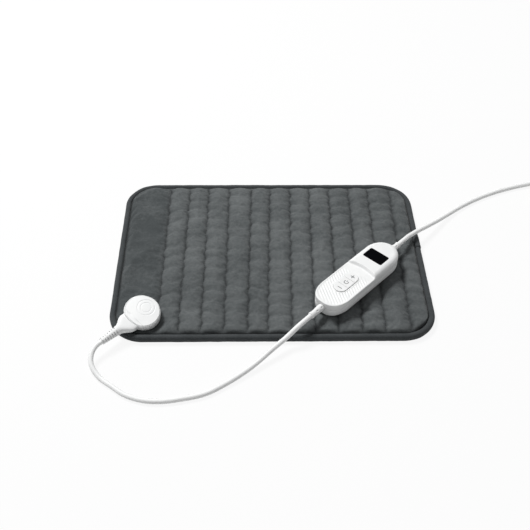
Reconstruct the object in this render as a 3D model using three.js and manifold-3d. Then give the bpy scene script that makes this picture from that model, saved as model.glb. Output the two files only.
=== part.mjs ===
// A quilted heating pad with a plug-in lead and a hand controller, in millimetres.
// The origin is the middle of the pad's underside. +X runs along the long side,
// +Y towards the back edge and +Z up.

import * as THREE from "three";
import { mergeVertices } from "three/addons/utils/BufferGeometryUtils.js";
import Module from "manifold-3d";

const wasm = await Module();
wasm.setup();

// Clearances
const seat_gap = 0.3; // between pieces that seat on one another
const slide_gap = 0.4; // round a piece that slides in an opening
const cut_past = 1; // how far a cutter runs past the face that it opens
const weld = 0.01; // details smaller than this are left out of a cut solid

// Pad outline and edge binding
const pad_width = 390;
const pad_depth = 286;
const pad_corner_radius = 42;
const binding_width = 9.6;
const binding_height = 9.6;
const binding_flat = 1.0; // the flat left on the rolled edge, on each side
const binding_lift = 0.2; // the rolled edge stands clear of the table

// Layers of the pad, from the table up
const bottom_cover_thickness = 2.2;
const carrier_thickness = 0.8;
const carrier_margin = 3;
const wire_radius = 0.9;
const wadding_thickness = 1.5;
const wadding_margin = 2;
const crown_height = 13; // top of a quilted channel above the table
const stitch_height = 9.2; // bottom of the valley along a stitch line
const edge_height = 8.4; // the quilt where it meets the binding
const least_cover = 0.9; // the quilt is never thinner than this

// Quilting
const stitch_count = 12;
const panel_width = 59; // from the pad's left edge to the first stitch line
const last_channel_width = 30.7; // from the last stitch line to the pad's right edge
const first_stitch_x = panel_width - pad_width / 2;
const stitch_pitch = (pad_width - panel_width - last_channel_width) / (stitch_count - 1);
const panel_round = 20; // how far the plain panel takes to reach its crown
const end_round = 14; // how far a channel's end takes to reach its crown
const channel_steps = 4;
const panel_steps = 8;
const end_rows = [0, 2.5, 7, 14]; // from a channel's end
const front_shares = [0.82, 0.72, 0.6, 0.43, 0.2]; // of the half depth, from the front
const back_shares = [0.2, 0.55];

// Heating wire
const wire_turn_margin = 27; // from the quilt's edge to the ends of the wire's runs
const wire_return_margin = 9; // from the quilt's edge to the wire's way back
const wire_bend = 6;
const wire_bend_steps = 3;
const wire_sides = 5;

// Round socket sewn to the pad's front left corner, leaning to the front
const socket_from_side = 40;
const socket_from_front = 33.6;
const socket_x = socket_from_side - pad_width / 2;
const socket_y = socket_from_front - pad_depth / 2;
const socket_lean_x = -0.115;
const socket_lean_y = 0.17;
const plug_heading = (225 * Math.PI) / 180;
const socket_radius = 21;
const socket_height = 8.4;
const socket_edge = 2.4;
const socket_wall = 1.8;
const socket_mouth_at = 17.2; // from the socket's middle to its mouth
const socket_mouth_bulge = 2.2;
const socket_base_thickness = 1.6;
const socket_neck_radius = 11;
const clamp_radius = 16;
const clamp_bore = 5;
const clamp_thickness = 1.2;
const clamp_screw_radius = 1.1;
const clamp_screw_circle = 8.2;
const clamp_screw_bite = 3.2; // how far a screw runs up into the socket's neck
const clamp_head_radius = 2.1;
const clamp_head_height = 1.2;
const lift_core = 12; // the plush lifts with the socket out to here
const press_core = 23; // the plush is pressed down by it out to here
const bed_fade = 14;

// Contacts, shared by the socket and its plug
const contact_count = 4;
const contact_pitch = 3.8;
const pin_radius = 0.6;
const pin_length = 17;
const pin_tip_at = 11;
const sleeve_wall = 0.35;
const sleeve_length = 9;
const block_length = 9;
const block_width = 18;
const block_height = 4.2;

// Plug
const tongue_reach = 11.5; // inwards from the mouth
const tongue_width = 17;
const plug_body_length = 20.5;
const plug_root_width = 24;
const plug_root_height = 7.8;
const plug_tail_radius = 5.6;
const plug_relief_length = 22;
const plug_relief_ribs = 7;
const plug_relief_start_radius = 5.4;
const plug_relief_end_radius = 4.0;
const plug_rib_depth = 1.0;
const plug_bed_drop = 1.4;

// Fuse and sensor beside the wire
const thermal_fuse_radius = 1.6;
const thermal_fuse_length = 11;
const thermal_fuse_x = first_stitch_x + stitch_pitch;
const sensor_radius = 1.3;
const sensor_length = 6;
const sensor_x = first_stitch_x + 5 * stitch_pitch;
const sensor_y = 0;
const pocket_margin = 1;

// Controller
const controller_x = 104.4;
const controller_y = -60.2;
const controller_heading = (46 * Math.PI) / 180;
const controller_length = 136;
const controller_width = 43.4;
const near_round = 29;
const near_power = 2.5;
const far_round = 26;
const far_power = 2;
const outline_steps = 10;
const parting_height = 12.4;
const keypad_height = 20.7;
const keypad_edge = 0.9;
const display_height = 24.4;
const display_edge = 6;
const step_at = 10.6; // where the raised display part begins, on the middle line
const step_radius = 55;
const shell_wall = 2;
const underside_side_inset = 7;
const underside_end_inset = 3.5;
const underside_round = 8;
const underside_shares = [0, 0.06, 0.25, 0.56, 1]; // of that round, from the underside up
const room_shares = [0.56, 1]; // the same inside, above the floor

// Display
const window_x = 34.3;
const window_length = 17.6;
const window_width = 27.6;
const window_corner = 1.2;
const window_thickness = 1.6;
const module_margin = 1.5;

// Buttons
const button_names = ["minus_button", "power_button", "plus_button"];
const pill_x = -23.4;
const pill_length = 37;
const pill_width = 16.4;
const button_gap = 0.5;
const button_proud = 0.8;
const button_edge = 0.5;
const button_flange = 1.2; // how far the hidden flange reaches past the opening
const button_flange_thickness = 1.2;
const button_travel = 0.8;
const button_rest_gap = 0.1; // left between the flange and its switch at full travel

// Inside the controller
const board_bottom = 8.8;
const board_thickness = 1.6;
const board_length = 112;
const board_width = 33;
const board_corner = 8;
const switch_side = 6;
const switch_body_height = 3.5;
const switch_plunger_radius = 1.7;
const boss_radius = 4;
const boss_x = 52;
const boss_y = 8.5;
const screw_radius = 1.2;
const screw_head_radius = 2.5;
const screw_head_height = 1.9;
const screw_head_recess = 0.6;
const screw_bite = 4.5;
const triac_size = [15, 10, 4.5];
const triac_x = 3.5;
const triac_y = 8;
const fuse_radius = 2.6;
const fuse_length = 20;
const fuse_x = 5;
const fuse_y = -9.5;
const capacitor_size = [6, 13, 7];
const capacitor_x = 19;
const capacitor_y = 5;
const chip_size = [7.5, 10, 1.8];
const chip_x = 19;
const chip_y = -8;

// Sleeves where the leads leave the controller
const sleeve_groove_radius = 3.7;
const sleeve_collar_radius = 5.2;
const sleeve_collar_length = 2.2;
const sleeve_collar_inset = 1.6; // from the end wall, which curves away from the collar
const sleeve_root_radius = 4.4;
const sleeve_end_radius = 3.5;
const near_sleeve_length = 20;
const far_sleeve_length = 14;

// Leads. The points between a lead's two ends are chosen by hand
const lead_radius = 3;
const lead_sides = 10;
const lead_step = 7;
const drawn_socket_x = -155; // the socket's place that the pad lead's points were chosen for
const drawn_socket_y = -109.4;
const pad_lead_points = [
  [-205.6, -162.8, 13.8],
  [-207.8, -171.2, 11.1],
  [-206.0, -181.9, 7.4],
  [-196.4, -195.2, 3.6],
  [-181.7, -207.4, 3.2],
  [-165.2, -219.9, 3.1],
  [-145.4, -227.2, 3.1],
  [-126.1, -228.7, 3.1],
  [-103.4, -225.5, 3.1],
  [-77.8, -218.8, 3.2],
  [-52.7, -203.3, 3.3],
  [-27.0, -184.0, 5.6],
  [-0.5, -160.4, 11.5],
  [15.5, -146.6, 15.4],
  [26.5, -138.9, 22.3],
];
const mains_lead_points = [
  [171.0, 9.6, 24.6],
  [176.9, 18.2, 21.6],
  [188.6, 31.0, 17.9],
  [200.2, 41.9, 14.9],
  [212.6, 53.2, 11.9],
  [226.6, 66.6, 8.3],
  [242.0, 81.6, 5.0],
  [259.5, 96.9, 3.4],
  [284.0, 114.0, 3.1],
  [313.0, 129.8, 3.1],
  [345.0, 142.6, 3.2],
  [375.0, 151.3, 3.8],
];

// Mains lead put away in a round coil with a tie
const coil_x = 416.5;
const coil_y = 113;
const coil_outer_radius = 46;
const coil_turn_pitch = 6.7;
const coil_layer_pitch = 6.7;
const coil_entry_turn = (101.9 * Math.PI) / 180;
const coil_whole_turns = 6;
const coil_loop_steps = 24;
const coil_sides = 6;
const tie_thickness = 0.8;
const tie_width = 9;
const tie_turn = (-52 * Math.PI) / 180;
const tie_gap = 0.6;
const tie_corner = 3;
const least_coil_gap = 0.4;

// Mains plug with two flat-set round pins
const tail_length = 40;
const mains_plug_relief_length = 30;
const mains_plug_relief_start_radius = 3.6;
const mains_plug_relief_end_radius = 5.4;
const mains_plug_length = 35.5;
const mains_plug_width = 26;
const mains_plug_root_width = 14;
const mains_plug_height = 13.6;
const mains_plug_lift = 0.2;
const mains_pin_radius = 2;
const mains_pin_length = 19;
const mains_pin_spacing = 18.6;
const mains_pin_seat = 6; // how far a pin is moulded into the body
const plug_section_power = 4;

// Values that follow from the sizes above
const cover_inset = binding_width + seat_gap;
const cover_half_width = pad_width / 2 - cover_inset;
const cover_half_depth = pad_depth / 2 - cover_inset;
const cover_corner = pad_corner_radius - cover_inset;
const carrier_bottom = bottom_cover_thickness + seat_gap;
const carrier_top = carrier_bottom + carrier_thickness;
const wire_height = carrier_top + seat_gap + wire_radius;
const wadding_bottom = wire_height + wire_radius + seat_gap;
const wadding_top = wadding_bottom + wadding_thickness;
const cover_underside = wadding_top + seat_gap;
const keypad_ceiling = keypad_height - shell_wall;
const display_ceiling = display_height - shell_wall;
const board_top = board_bottom + board_thickness;
const controller_base = crown_height + seat_gap;
const mouth_half = Math.sqrt(socket_radius ** 2 - socket_mouth_at ** 2);
const socket_plate_top = seat_gap + socket_base_thickness;
const socket_ceiling = seat_gap + socket_height - socket_wall;
const contact_height = (socket_plate_top + socket_ceiling) / 2;
const tongue_height = socket_ceiling - socket_plate_top - 2 * slide_gap;
const tongue_tip = socket_mouth_at - tongue_reach;
const tongue_root = socket_mouth_at + socket_mouth_bulge * (1 - (tongue_width / 2 / mouth_half) ** 2);

const finishes = {
  plush: { color: 0x585d5e, roughness: 0.95, metalness: 0 },
  binding: { color: 0x3b3e40, roughness: 0.9, metalness: 0 },
  inner_cloth: { color: 0xd9d6cd, roughness: 0.9, metalness: 0 },
  wire: { color: 0xb8452f, roughness: 0.6, metalness: 0 },
  white_shell: { color: 0xf0f0ee, roughness: 0.4, metalness: 0 },
  white_rubber: { color: 0xe8e8e6, roughness: 0.55, metalness: 0 },
  black_window: { color: 0x06080c, roughness: 0.1, metalness: 0 },
  dark_part: { color: 0x26282b, roughness: 0.6, metalness: 0 },
  board: { color: 0x1f6b3d, roughness: 0.5, metalness: 0 },
  contact: { color: 0xc9a24b, roughness: 0.35, metalness: 1 },
  steel: { color: 0xb9bcc0, roughness: 0.35, metalness: 1 },
};

const heating_pad = new THREE.Group();

// Building helpers

function part(name, geometry, finish, group = heating_pad) {
  const mesh = new THREE.Mesh(geometry, new THREE.MeshStandardMaterial(finishes[finish]));
  mesh.name = name;
  group.add(mesh);
}

function solid(geometry) {
  const plain = geometry.clone();
  plain.deleteAttribute("normal");
  plain.deleteAttribute("uv");
  const welded = mergeVertices(plain);
  const mesh = new wasm.Mesh({
    numProp: 3,
    vertProperties: welded.attributes.position.array,
    triVerts: new Uint32Array(welded.index.array),
  });
  return new wasm.Manifold(mesh);
}

function geometry_of(body) {
  const mesh = body.simplify(weld).getMesh();
  const geometry = new THREE.BufferGeometry();
  geometry.setAttribute("position", new THREE.BufferAttribute(mesh.vertProperties, 3));
  geometry.setIndex(new THREE.BufferAttribute(mesh.triVerts, 1));
  return geometry;
}

function cut(base, ...tools) {
  return geometry_of(tools.reduce((body, tool) => body.subtract(solid(tool)), solid(base)));
}

function joined(base, ...others) {
  return geometry_of(others.reduce((body, other) => body.add(solid(other)), solid(base)));
}

function common(base, other) {
  return geometry_of(solid(base).intersect(solid(other)));
}

// A straight-sided solid of a flat shape between two heights
function slab(shape, low, high, curve_steps = 4) {
  const flat = { depth: high - low, bevelEnabled: false, curveSegments: curve_steps };
  return new THREE.ExtrudeGeometry(shape, flat).translate(0, 0, low);
}

// The same with its top and bottom edges rounded
function soft_slab(shape, low, high, edge, edge_steps = 2, curve_steps = 4) {
  const rounded = {
    depth: high - low - 2 * edge,
    bevelSize: edge,
    bevelOffset: -edge,
    bevelThickness: edge,
    bevelSegments: edge_steps,
    curveSegments: curve_steps,
  };
  return new THREE.ExtrudeGeometry(shape, rounded).translate(0, 0, low + edge);
}

function block(length, width, low, high, x = 0, y = 0) {
  return new THREE.BoxGeometry(length, width, high - low).translate(x, y, (low + high) / 2);
}

// A round rod along +Z between two heights
function post(radius, low, high, x = 0, y = 0, sides = 16) {
  const rod = new THREE.CylinderGeometry(radius, radius, high - low, sides);
  return rod.rotateX(Math.PI / 2).translate(x, y, (low + high) / 2);
}

// A round rod along +X between two places
function bar(radius, from, to, y = 0, z = 0, sides = 12) {
  const rod = new THREE.CylinderGeometry(radius, radius, to - from, sides);
  return rod.rotateZ(-Math.PI / 2).translate((from + to) / 2, y, z);
}

// A turned solid along +X: each step is [place along X, radius]
function turned(steps, sides = 12) {
  const profile = steps.map(([place, radius]) => new THREE.Vector2(radius, place));
  profile.unshift(new THREE.Vector2(0, steps[0][0]));
  profile.push(new THREE.Vector2(0, steps[steps.length - 1][0]));
  return new THREE.LatheGeometry(profile, sides).rotateZ(-Math.PI / 2);
}

// A closed skin over rings that all have the same even number of points. Each end is closed in
// strips between the points that face one another across the ring
function skin(rings) {
  const sides = rings[0].length;
  const points = rings.flat();
  const triangles = [];
  for (let ring = 0; ring + 1 < rings.length; ring += 1) {
    for (let side = 0; side < sides; side += 1) {
      const here = ring * sides + side;
      const beside = ring * sides + ((side + 1) % sides);
      triangles.push(here, beside, beside + sides);
      triangles.push(here, beside + sides, here + sides);
    }
  }
  const last = (rings.length - 1) * sides;
  for (let side = 0; side < sides / 2; side += 1) {
    const facing = sides - side - 1;
    const behind = (sides - side) % sides;
    if (facing !== side + 1) {
      triangles.push(side, facing, side + 1);
      triangles.push(last + side, last + side + 1, last + facing);
    }
    if (behind !== side) {
      triangles.push(side, behind, facing);
      triangles.push(last + side, last + facing, last + behind);
    }
  }
  return new THREE.BufferGeometry().setFromPoints(points).setIndex(triangles);
}

function signed_power(value, power) {
  return Math.sign(value) * Math.abs(value) ** power;
}

function smooth(share) {
  const held = Math.min(Math.max(share, 0), 1);
  return held * held * (3 - 2 * held);
}

// A quarter round: 0 at a sewn edge, 1 from the reach inwards
function pillow(distance, reach) {
  const share = Math.min(Math.max(distance / reach, 0), 1);
  return Math.sqrt(1 - (1 - share) ** 2);
}

function rounded_rectangle(half_length, half_width, corner) {
  const shape = new THREE.Shape();
  const straight_x = half_length - corner;
  const straight_y = half_width - corner;
  shape.absarc(straight_x, straight_y, corner, 0, Math.PI / 2);
  shape.absarc(-straight_x, straight_y, corner, Math.PI / 2, Math.PI);
  shape.absarc(-straight_x, -straight_y, corner, Math.PI, 1.5 * Math.PI);
  shape.absarc(straight_x, -straight_y, corner, 1.5 * Math.PI, 2 * Math.PI);
  return shape;
}

function round_hole(x, y, radius) {
  return new THREE.Path().absarc(x, y, radius, 0, 2 * Math.PI, true);
}

function square_hole(x, y, half_length, half_width) {
  const path = new THREE.Path();
  path.moveTo(x - half_length, y - half_width);
  path.lineTo(x - half_length, y + half_width);
  path.lineTo(x + half_length, y + half_width);
  path.lineTo(x + half_length, y - half_width);
  path.closePath();
  return path;
}

// A path that an extrusion follows station by station
class StationPath extends THREE.Curve {
  constructor(stations) {
    super();
    this.stations = stations;
  }

  getPointAt(share) {
    return this.stations[Math.round(share * (this.stations.length - 1))].clone();
  }

  getTangentAt(share) {
    const station = Math.round(share * (this.stations.length - 1));
    const before = this.stations[Math.max(station - 1, 0)];
    const after = this.stations[Math.min(station + 1, this.stations.length - 1)];
    return after.clone().sub(before).normalize();
  }
}

function round_section(radius, sides) {
  const corners = [];
  for (let side = 0; side < sides; side += 1) {
    const turn = ((side + 0.5) * 2 * Math.PI) / sides;
    corners.push(new THREE.Vector2(radius * Math.cos(turn), radius * Math.sin(turn)));
  }
  return new THREE.Shape(corners);
}

function tube(stations, radius, sides) {
  return new THREE.ExtrudeGeometry(round_section(radius, sides), {
    steps: stations.length - 1,
    extrudePath: new StationPath(stations),
  });
}

// A lead between two ends through chosen points. Each end, a place and the way that the lead
// leaves it, runs straight for one diameter
function lead(first, points, last) {
  const start = first.place.clone().addScaledVector(first.way, 2 * lead_radius);
  const finish = last.place.clone().addScaledVector(last.way, 2 * lead_radius);
  const middle = points.map((point) => new THREE.Vector3(...point));
  const route = [first.place, start, ...middle, finish, last.place];
  const curve = new THREE.CatmullRomCurve3(route, false, "centripetal");
  const steps = Math.round(curve.getLength() / lead_step);
  return tube(curve.getSpacedPoints(steps), lead_radius, lead_sides);
}

function end_in(frame, x, y, z, way_x) {
  const place = new THREE.Vector3(x, y, z).applyMatrix4(frame);
  const way = new THREE.Vector3(way_x, 0, 0).transformDirection(frame);
  return { place, way };
}

// Frames that pieces are placed in

function leaning_frame() {
  const up = new THREE.Vector3(-socket_lean_x, -socket_lean_y, 1).normalize();
  const outward = new THREE.Vector3(Math.cos(plug_heading), Math.sin(plug_heading), 0);
  const along = outward.addScaledVector(up, -outward.dot(up)).normalize();
  const across = up.clone().cross(along);
  const frame = new THREE.Matrix4().makeBasis(along, across, up);
  return frame.setPosition(socket_x, socket_y, crown_height);
}

function group_at(matrix) {
  const group = new THREE.Group();
  group.applyMatrix4(matrix);
  heating_pad.add(group);
  return group;
}

const socket_frame = leaning_frame();
const controller_frame = new THREE.Matrix4()
  .makeRotationZ(controller_heading)
  .setPosition(controller_x, controller_y, controller_base);

// Quilted pad

function stitch_x(line) {
  return first_stitch_x + line * stitch_pitch;
}

function half_depth_at(x) {
  const into_corner = Math.max(Math.abs(x) - (cover_half_width - cover_corner), 0);
  const rise = Math.sqrt(Math.max(cover_corner ** 2 - into_corner ** 2, 0));
  return cover_half_depth - cover_corner + rise;
}

// The sewn lines that bound each channel, from the left edge to the right edge
function channel_bounds() {
  const bounds = [-cover_half_width];
  for (let line = 0; line < stitch_count; line += 1) {
    bounds.push(stitch_x(line));
  }
  bounds.push(cover_half_width);
  return bounds;
}

const bounds = channel_bounds();

// How the plush leans with the socket: height of the leaning plane, and its hold there
function leaning_height(x, y, free_height) {
  const offset_x = x - socket_x;
  const offset_y = y - socket_y;
  const along = offset_x * Math.cos(plug_heading) + offset_y * Math.sin(plug_heading);
  const aside = offset_y * Math.cos(plug_heading) - offset_x * Math.sin(plug_heading);
  const past_mouth = smooth((along - socket_mouth_at) / plug_tail_radius);
  const plane = crown_height + socket_lean_x * offset_x + socket_lean_y * offset_y;
  const bed = plane - seat_gap - plug_bed_drop * past_mouth;
  const reach = Math.max(along - plug_body_length - socket_mouth_at, Math.min(along, 0));
  const distance = Math.hypot(reach, aside);
  const core = bed > free_height ? lift_core : press_core;
  const hold = 1 - smooth((distance - core) / bed_fade);
  return free_height + (bed - free_height) * hold;
}

function quilt_height(x, y) {
  const channel = Math.min(Math.max(bounds.findIndex((bound) => bound > x) - 1, 0), stitch_count);
  const left = bounds[channel];
  const right = bounds[channel + 1];
  const reach = Math.min((right - left) / 2, panel_round);
  const nearest_is_edge = x - left < right - x ? channel === 0 : channel === stitch_count;
  const low = nearest_is_edge ? edge_height : stitch_height;
  const across = low + (crown_height - low) * pillow(Math.min(x - left, right - x), reach);
  const end = pillow(half_depth_at(x) - Math.abs(y), end_round);
  const free_height = edge_height + (across - edge_height) * end;
  return Math.max(leaning_height(x, y, free_height), cover_underside + least_cover);
}

function quilt_columns() {
  const columns = [];
  for (let channel = 0; channel <= stitch_count; channel += 1) {
    const steps = channel === 0 ? panel_steps : channel_steps;
    for (let step = 0; step < steps; step += 1) {
      columns.push(bounds[channel] + ((bounds[channel + 1] - bounds[channel]) * step) / steps);
    }
  }
  columns.push(cover_half_width);
  return columns;
}

// The quilt's top as a grid of channels, closed by a wall and a flat underside
function quilt() {
  const columns = quilt_columns();
  const rows = 2 * end_rows.length + front_shares.length + back_shares.length;
  const points = [];
  for (const x of columns) {
    const half = half_depth_at(x);
    const front = [...end_rows.map((row) => row - half), ...front_shares.map((share) => -share * half)];
    const back_end = end_rows.toReversed().map((row) => half - row);
    const back = [...back_shares.map((share) => share * half), ...back_end];
    [...front, ...back].forEach((y) => points.push(new THREE.Vector3(x, y, quilt_height(x, y))));
  }
  const triangles = [];
  for (let column = 0; column + 1 < columns.length; column += 1) {
    for (let row = 0; row + 1 < rows; row += 1) {
      const here = column * rows + row;
      triangles.push(here, here + rows, here + rows + 1);
      triangles.push(here, here + rows + 1, here + 1);
    }
  }
  const rim = [];
  columns.forEach((x, column) => rim.push(column * rows));
  for (let row = 1; row < rows; row += 1) {
    rim.push((columns.length - 1) * rows + row);
  }
  for (let column = columns.length - 2; column >= 0; column -= 1) {
    rim.push(column * rows + rows - 1);
  }
  for (let row = rows - 2; row > 0; row -= 1) {
    rim.push(row);
  }
  const floor = points.length;
  const middle = floor + rim.length;
  rim.forEach((index) => points.push(points[index].clone().setZ(cover_underside)));
  points.push(new THREE.Vector3(0, 0, cover_underside));
  rim.forEach((index, side) => {
    const beside = (side + 1) % rim.length;
    triangles.push(floor + side, floor + beside, rim[beside]);
    triangles.push(floor + side, rim[beside], index);
    triangles.push(floor + beside, floor + side, middle);
  });
  return new THREE.BufferGeometry().setFromPoints(points).setIndex(triangles);
}

function pad_outline(inset) {
  const corner = Math.max(pad_corner_radius - inset, 1);
  return rounded_rectangle(pad_width / 2 - inset, pad_depth / 2 - inset, corner);
}

// The socket and the plug press the plush: their footprints, swept up, are cut out of it
function socket_seat() {
  return post(socket_radius + seat_gap, 0, 3 * socket_height, 0, 0, 32).applyMatrix4(socket_frame);
}

function plug_seat() {
  const start = socket_mouth_at - socket_mouth_bulge;
  const length = plug_body_length + plug_relief_length + 2 * socket_mouth_bulge;
  const width = plug_root_width + 2 * seat_gap;
  const low = contact_height - plug_tail_radius - seat_gap;
  const bed = block(length, width, low, 3 * socket_height, start + length / 2);
  return bed.applyMatrix4(socket_frame);
}

function neck_hole() {
  const radius = socket_neck_radius + slide_gap;
  return post(radius, -2 * crown_height, crown_height, 0, 0, 24).applyMatrix4(socket_frame);
}

function build_pad() {
  const ring = pad_outline(0);
  ring.holes.push(new THREE.Path(pad_outline(binding_width).getPoints(4).reverse()));
  const roll = (binding_height - binding_flat) / 2;
  const binding_top = binding_lift + binding_height;
  part("edge_binding", soft_slab(ring, binding_lift, binding_top, roll), "binding");
  const cover = pad_outline(cover_inset);
  part("pad_bottom_cover", slab(cover, 0, bottom_cover_thickness), "plush");
  const carrier = pad_outline(cover_inset + carrier_margin);
  part("wire_carrier_cloth", slab(carrier, carrier_bottom, carrier_top), "inner_cloth");
  part("heating_wire", heating_wire(), "wire");
  const wadding = pad_outline(cover_inset + wadding_margin);
  wadding.holes.push(round_hole(socket_x, socket_y, clamp_radius + pocket_margin));
  const fuse_pocket = thermal_fuse_length / 2 + pocket_margin;
  const fuse_half = thermal_fuse_radius + pocket_margin;
  wadding.holes.push(square_hole(thermal_fuse_x, thermal_fuse_y(), fuse_pocket, fuse_half));
  const sensor_pocket = sensor_length / 2 + pocket_margin;
  const sensor_half = sensor_radius + pocket_margin;
  wadding.holes.push(square_hole(sensor_x, sensor_y, sensor_half, sensor_pocket));
  part("wadding_sheet", slab(wadding, wadding_bottom, wadding_top, 8), "inner_cloth");
  part("pad_top_cover", cut(quilt(), neck_hole(), socket_seat(), plug_seat()), "plush");
}

// A route of straight runs with its corners rounded
function rounded_route(corners, bend, bend_steps) {
  const stations = [corners[0]];
  for (let corner = 1; corner + 1 < corners.length; corner += 1) {
    const here = corners[corner];
    const inward = corners[corner - 1].clone().sub(here).normalize();
    const onward = corners[corner + 1].clone().sub(here).normalize();
    for (let step = 0; step <= bend_steps; step += 1) {
      const turn = ((Math.PI / 2) * step) / bend_steps;
      const station = here.clone();
      station.addScaledVector(inward, bend * (1 - Math.sin(turn)));
      station.addScaledVector(onward, bend * (1 - Math.cos(turn)));
      stations.push(station);
    }
  }
  stations.push(corners[corners.length - 1]);
  return stations;
}

// The wire runs up and down one channel after another and comes back along the front edge
function heating_wire() {
  const turn_y = cover_half_depth - wire_turn_margin;
  const front_y = wire_return_margin - cover_half_depth;
  const clear_of_clamp = clamp_radius + pocket_margin;
  const corners = [[socket_x + clear_of_clamp, socket_y]];
  let next_y = socket_y;
  for (let channel = 0; channel + 1 < stitch_count; channel += 1) {
    const x = stitch_x(channel + 0.5);
    corners.push([x, next_y]);
    next_y = channel % 2 === 0 ? turn_y : -turn_y;
    corners.push([x, next_y]);
  }
  const last_x = stitch_x(stitch_count - 1);
  corners.push([last_x, next_y], [last_x, front_y], [socket_x + clear_of_clamp, front_y]);
  const places = corners.map(([x, y]) => new THREE.Vector3(x, y, wire_height));
  return tube(rounded_route(places, wire_bend, wire_bend_steps), wire_radius, wire_sides);
}

function thermal_fuse_y() {
  return cover_half_depth - wire_turn_margin - stitch_pitch;
}

// Socket

function socket_outline(radius, mouth_at, bulge) {
  const half = Math.sqrt(radius ** 2 - mouth_at ** 2);
  const open = Math.atan2(half, mouth_at);
  const shape = new THREE.Shape();
  shape.absarc(0, 0, radius, open, 2 * Math.PI - open);
  shape.quadraticCurveTo(mouth_at + 2 * bulge, 0, mouth_at, half);
  return shape;
}

function contact_place(contact) {
  return (contact - (contact_count - 1) / 2) * contact_pitch;
}

function clamp_screw_places() {
  return [1, -1].map((side) => [socket_x, socket_y + side * clamp_screw_circle]);
}

function build_socket() {
  const group = group_at(socket_frame);
  const top = seat_gap + socket_height;
  const outer = socket_outline(socket_radius, socket_mouth_at, socket_mouth_bulge);
  const inner_radius = socket_radius - socket_wall;
  const inner_mouth = socket_mouth_at - socket_wall;
  const inner = socket_outline(inner_radius, inner_mouth, socket_mouth_bulge);
  const shell = soft_slab(outer, seat_gap, top, socket_edge, 2, 16);
  const hollow = slab(inner, seat_gap - cut_past, socket_ceiling, 16);
  const mouth_width = tongue_width + 2 * slide_gap;
  const mouth_low = contact_height - tongue_height / 2 - slide_gap;
  const mouth_high = contact_height + tongue_height / 2 + slide_gap;
  const mouth_length = 2 * (socket_wall + socket_mouth_bulge);
  const mouth = block(mouth_length, mouth_width, mouth_low, mouth_high, socket_mouth_at);
  part("socket_cover", cut(shell, hollow, mouth), "white_shell", group);

  const plate_radius = inner_radius - seat_gap;
  const plate_mouth = inner_mouth - seat_gap;
  const plate_shape = socket_outline(plate_radius, plate_mouth, socket_mouth_bulge);
  const plate = slab(plate_shape, seat_gap, socket_plate_top, 12);
  const neck = post(socket_neck_radius, -2 * crown_height, socket_plate_top, 0, 0, 24);
  const base = joined(plate, neck).applyMatrix4(socket_frame);
  const cut_side = 4 * socket_radius;
  const under_cut = block(cut_side, cut_side, -pad_width, cover_underside, socket_x, socket_y);
  const screw_holes = clamp_screw_places().map(([x, y]) => {
    const depth = cover_underside + clamp_screw_bite + seat_gap;
    return post(clamp_screw_radius + seat_gap, 0, depth, x, y);
  });
  part("socket_base", cut(base, under_cut, ...screw_holes), "white_shell");

  const clamp = new THREE.Shape().absarc(socket_x, socket_y, clamp_radius, 0, 2 * Math.PI);
  clamp.holes.push(round_hole(socket_x, socket_y, clamp_bore));
  clamp_screw_places().forEach(([x, y]) => {
    clamp.holes.push(round_hole(x, y, clamp_screw_radius + seat_gap));
  });
  const clamp_low = wadding_top - clamp_thickness;
  part("socket_clamp_plate", slab(clamp, clamp_low, wadding_top, 6), "white_shell");
  clamp_screw_places().forEach(([x, y], screw) => {
    const head_top = clamp_low - seat_gap;
    const shaft_top = cover_underside + clamp_screw_bite;
    const shaft = post(clamp_screw_radius, head_top - clamp_head_height / 2, shaft_top, x, y, 10);
    const head = post(clamp_head_radius, head_top - clamp_head_height, head_top, x, y, 12);
    part(`socket_screw_${screw + 1}`, joined(head, shaft), "steel");
  });

  const block_low = socket_plate_top + seat_gap;
  const block_middle = pin_tip_at - pin_length + block_length / 2 + cut_past;
  const carrier = block(block_length, block_width, block_low, block_low + block_height, block_middle);
  const bores = [];
  for (let contact = 0; contact < contact_count; contact += 1) {
    const y = contact_place(contact);
    bores.push(bar(pin_radius + seat_gap, -socket_radius, socket_radius, y, contact_height));
    const from = pin_tip_at - pin_length;
    const pin = bar(pin_radius, from, pin_tip_at, y, contact_height, 10);
    part(`socket_pin_${contact + 1}`, pin, "contact", group);
  }
  part("socket_pin_block", cut(carrier, ...bores), "dark_part", group);
}

// Plug with its flared body and ribbed relief

function plug_station(share) {
  const flare = 1 - smooth(share);
  const half_width = plug_tail_radius + (plug_root_width / 2 - plug_tail_radius) * flare;
  const half_height = plug_tail_radius + (plug_root_height / 2 - plug_tail_radius) * (1 - share);
  const power = 2 / (2 + 2 * (1 - share));
  return { half_width, half_height, power };
}

function plug_body() {
  const start = socket_mouth_at + seat_gap;
  const steps = 6;
  const sides = 20;
  const rings = [];
  for (let step = 0; step <= steps; step += 1) {
    const share = step / steps;
    const { half_width, half_height, power } = plug_station(share);
    const ring = [];
    for (let side = 0; side < sides; side += 1) {
      const turn = (2 * Math.PI * side) / sides;
      const y = half_width * signed_power(Math.cos(turn), power);
      const z = contact_height + half_height * signed_power(Math.sin(turn), power);
      const face = socket_mouth_bulge * (1 - (y / mouth_half) ** 2) * (1 - share);
      ring.push(new THREE.Vector3(start + plug_body_length * share + face, y, z));
    }
    rings.push(ring);
  }
  return skin(rings);
}

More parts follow.
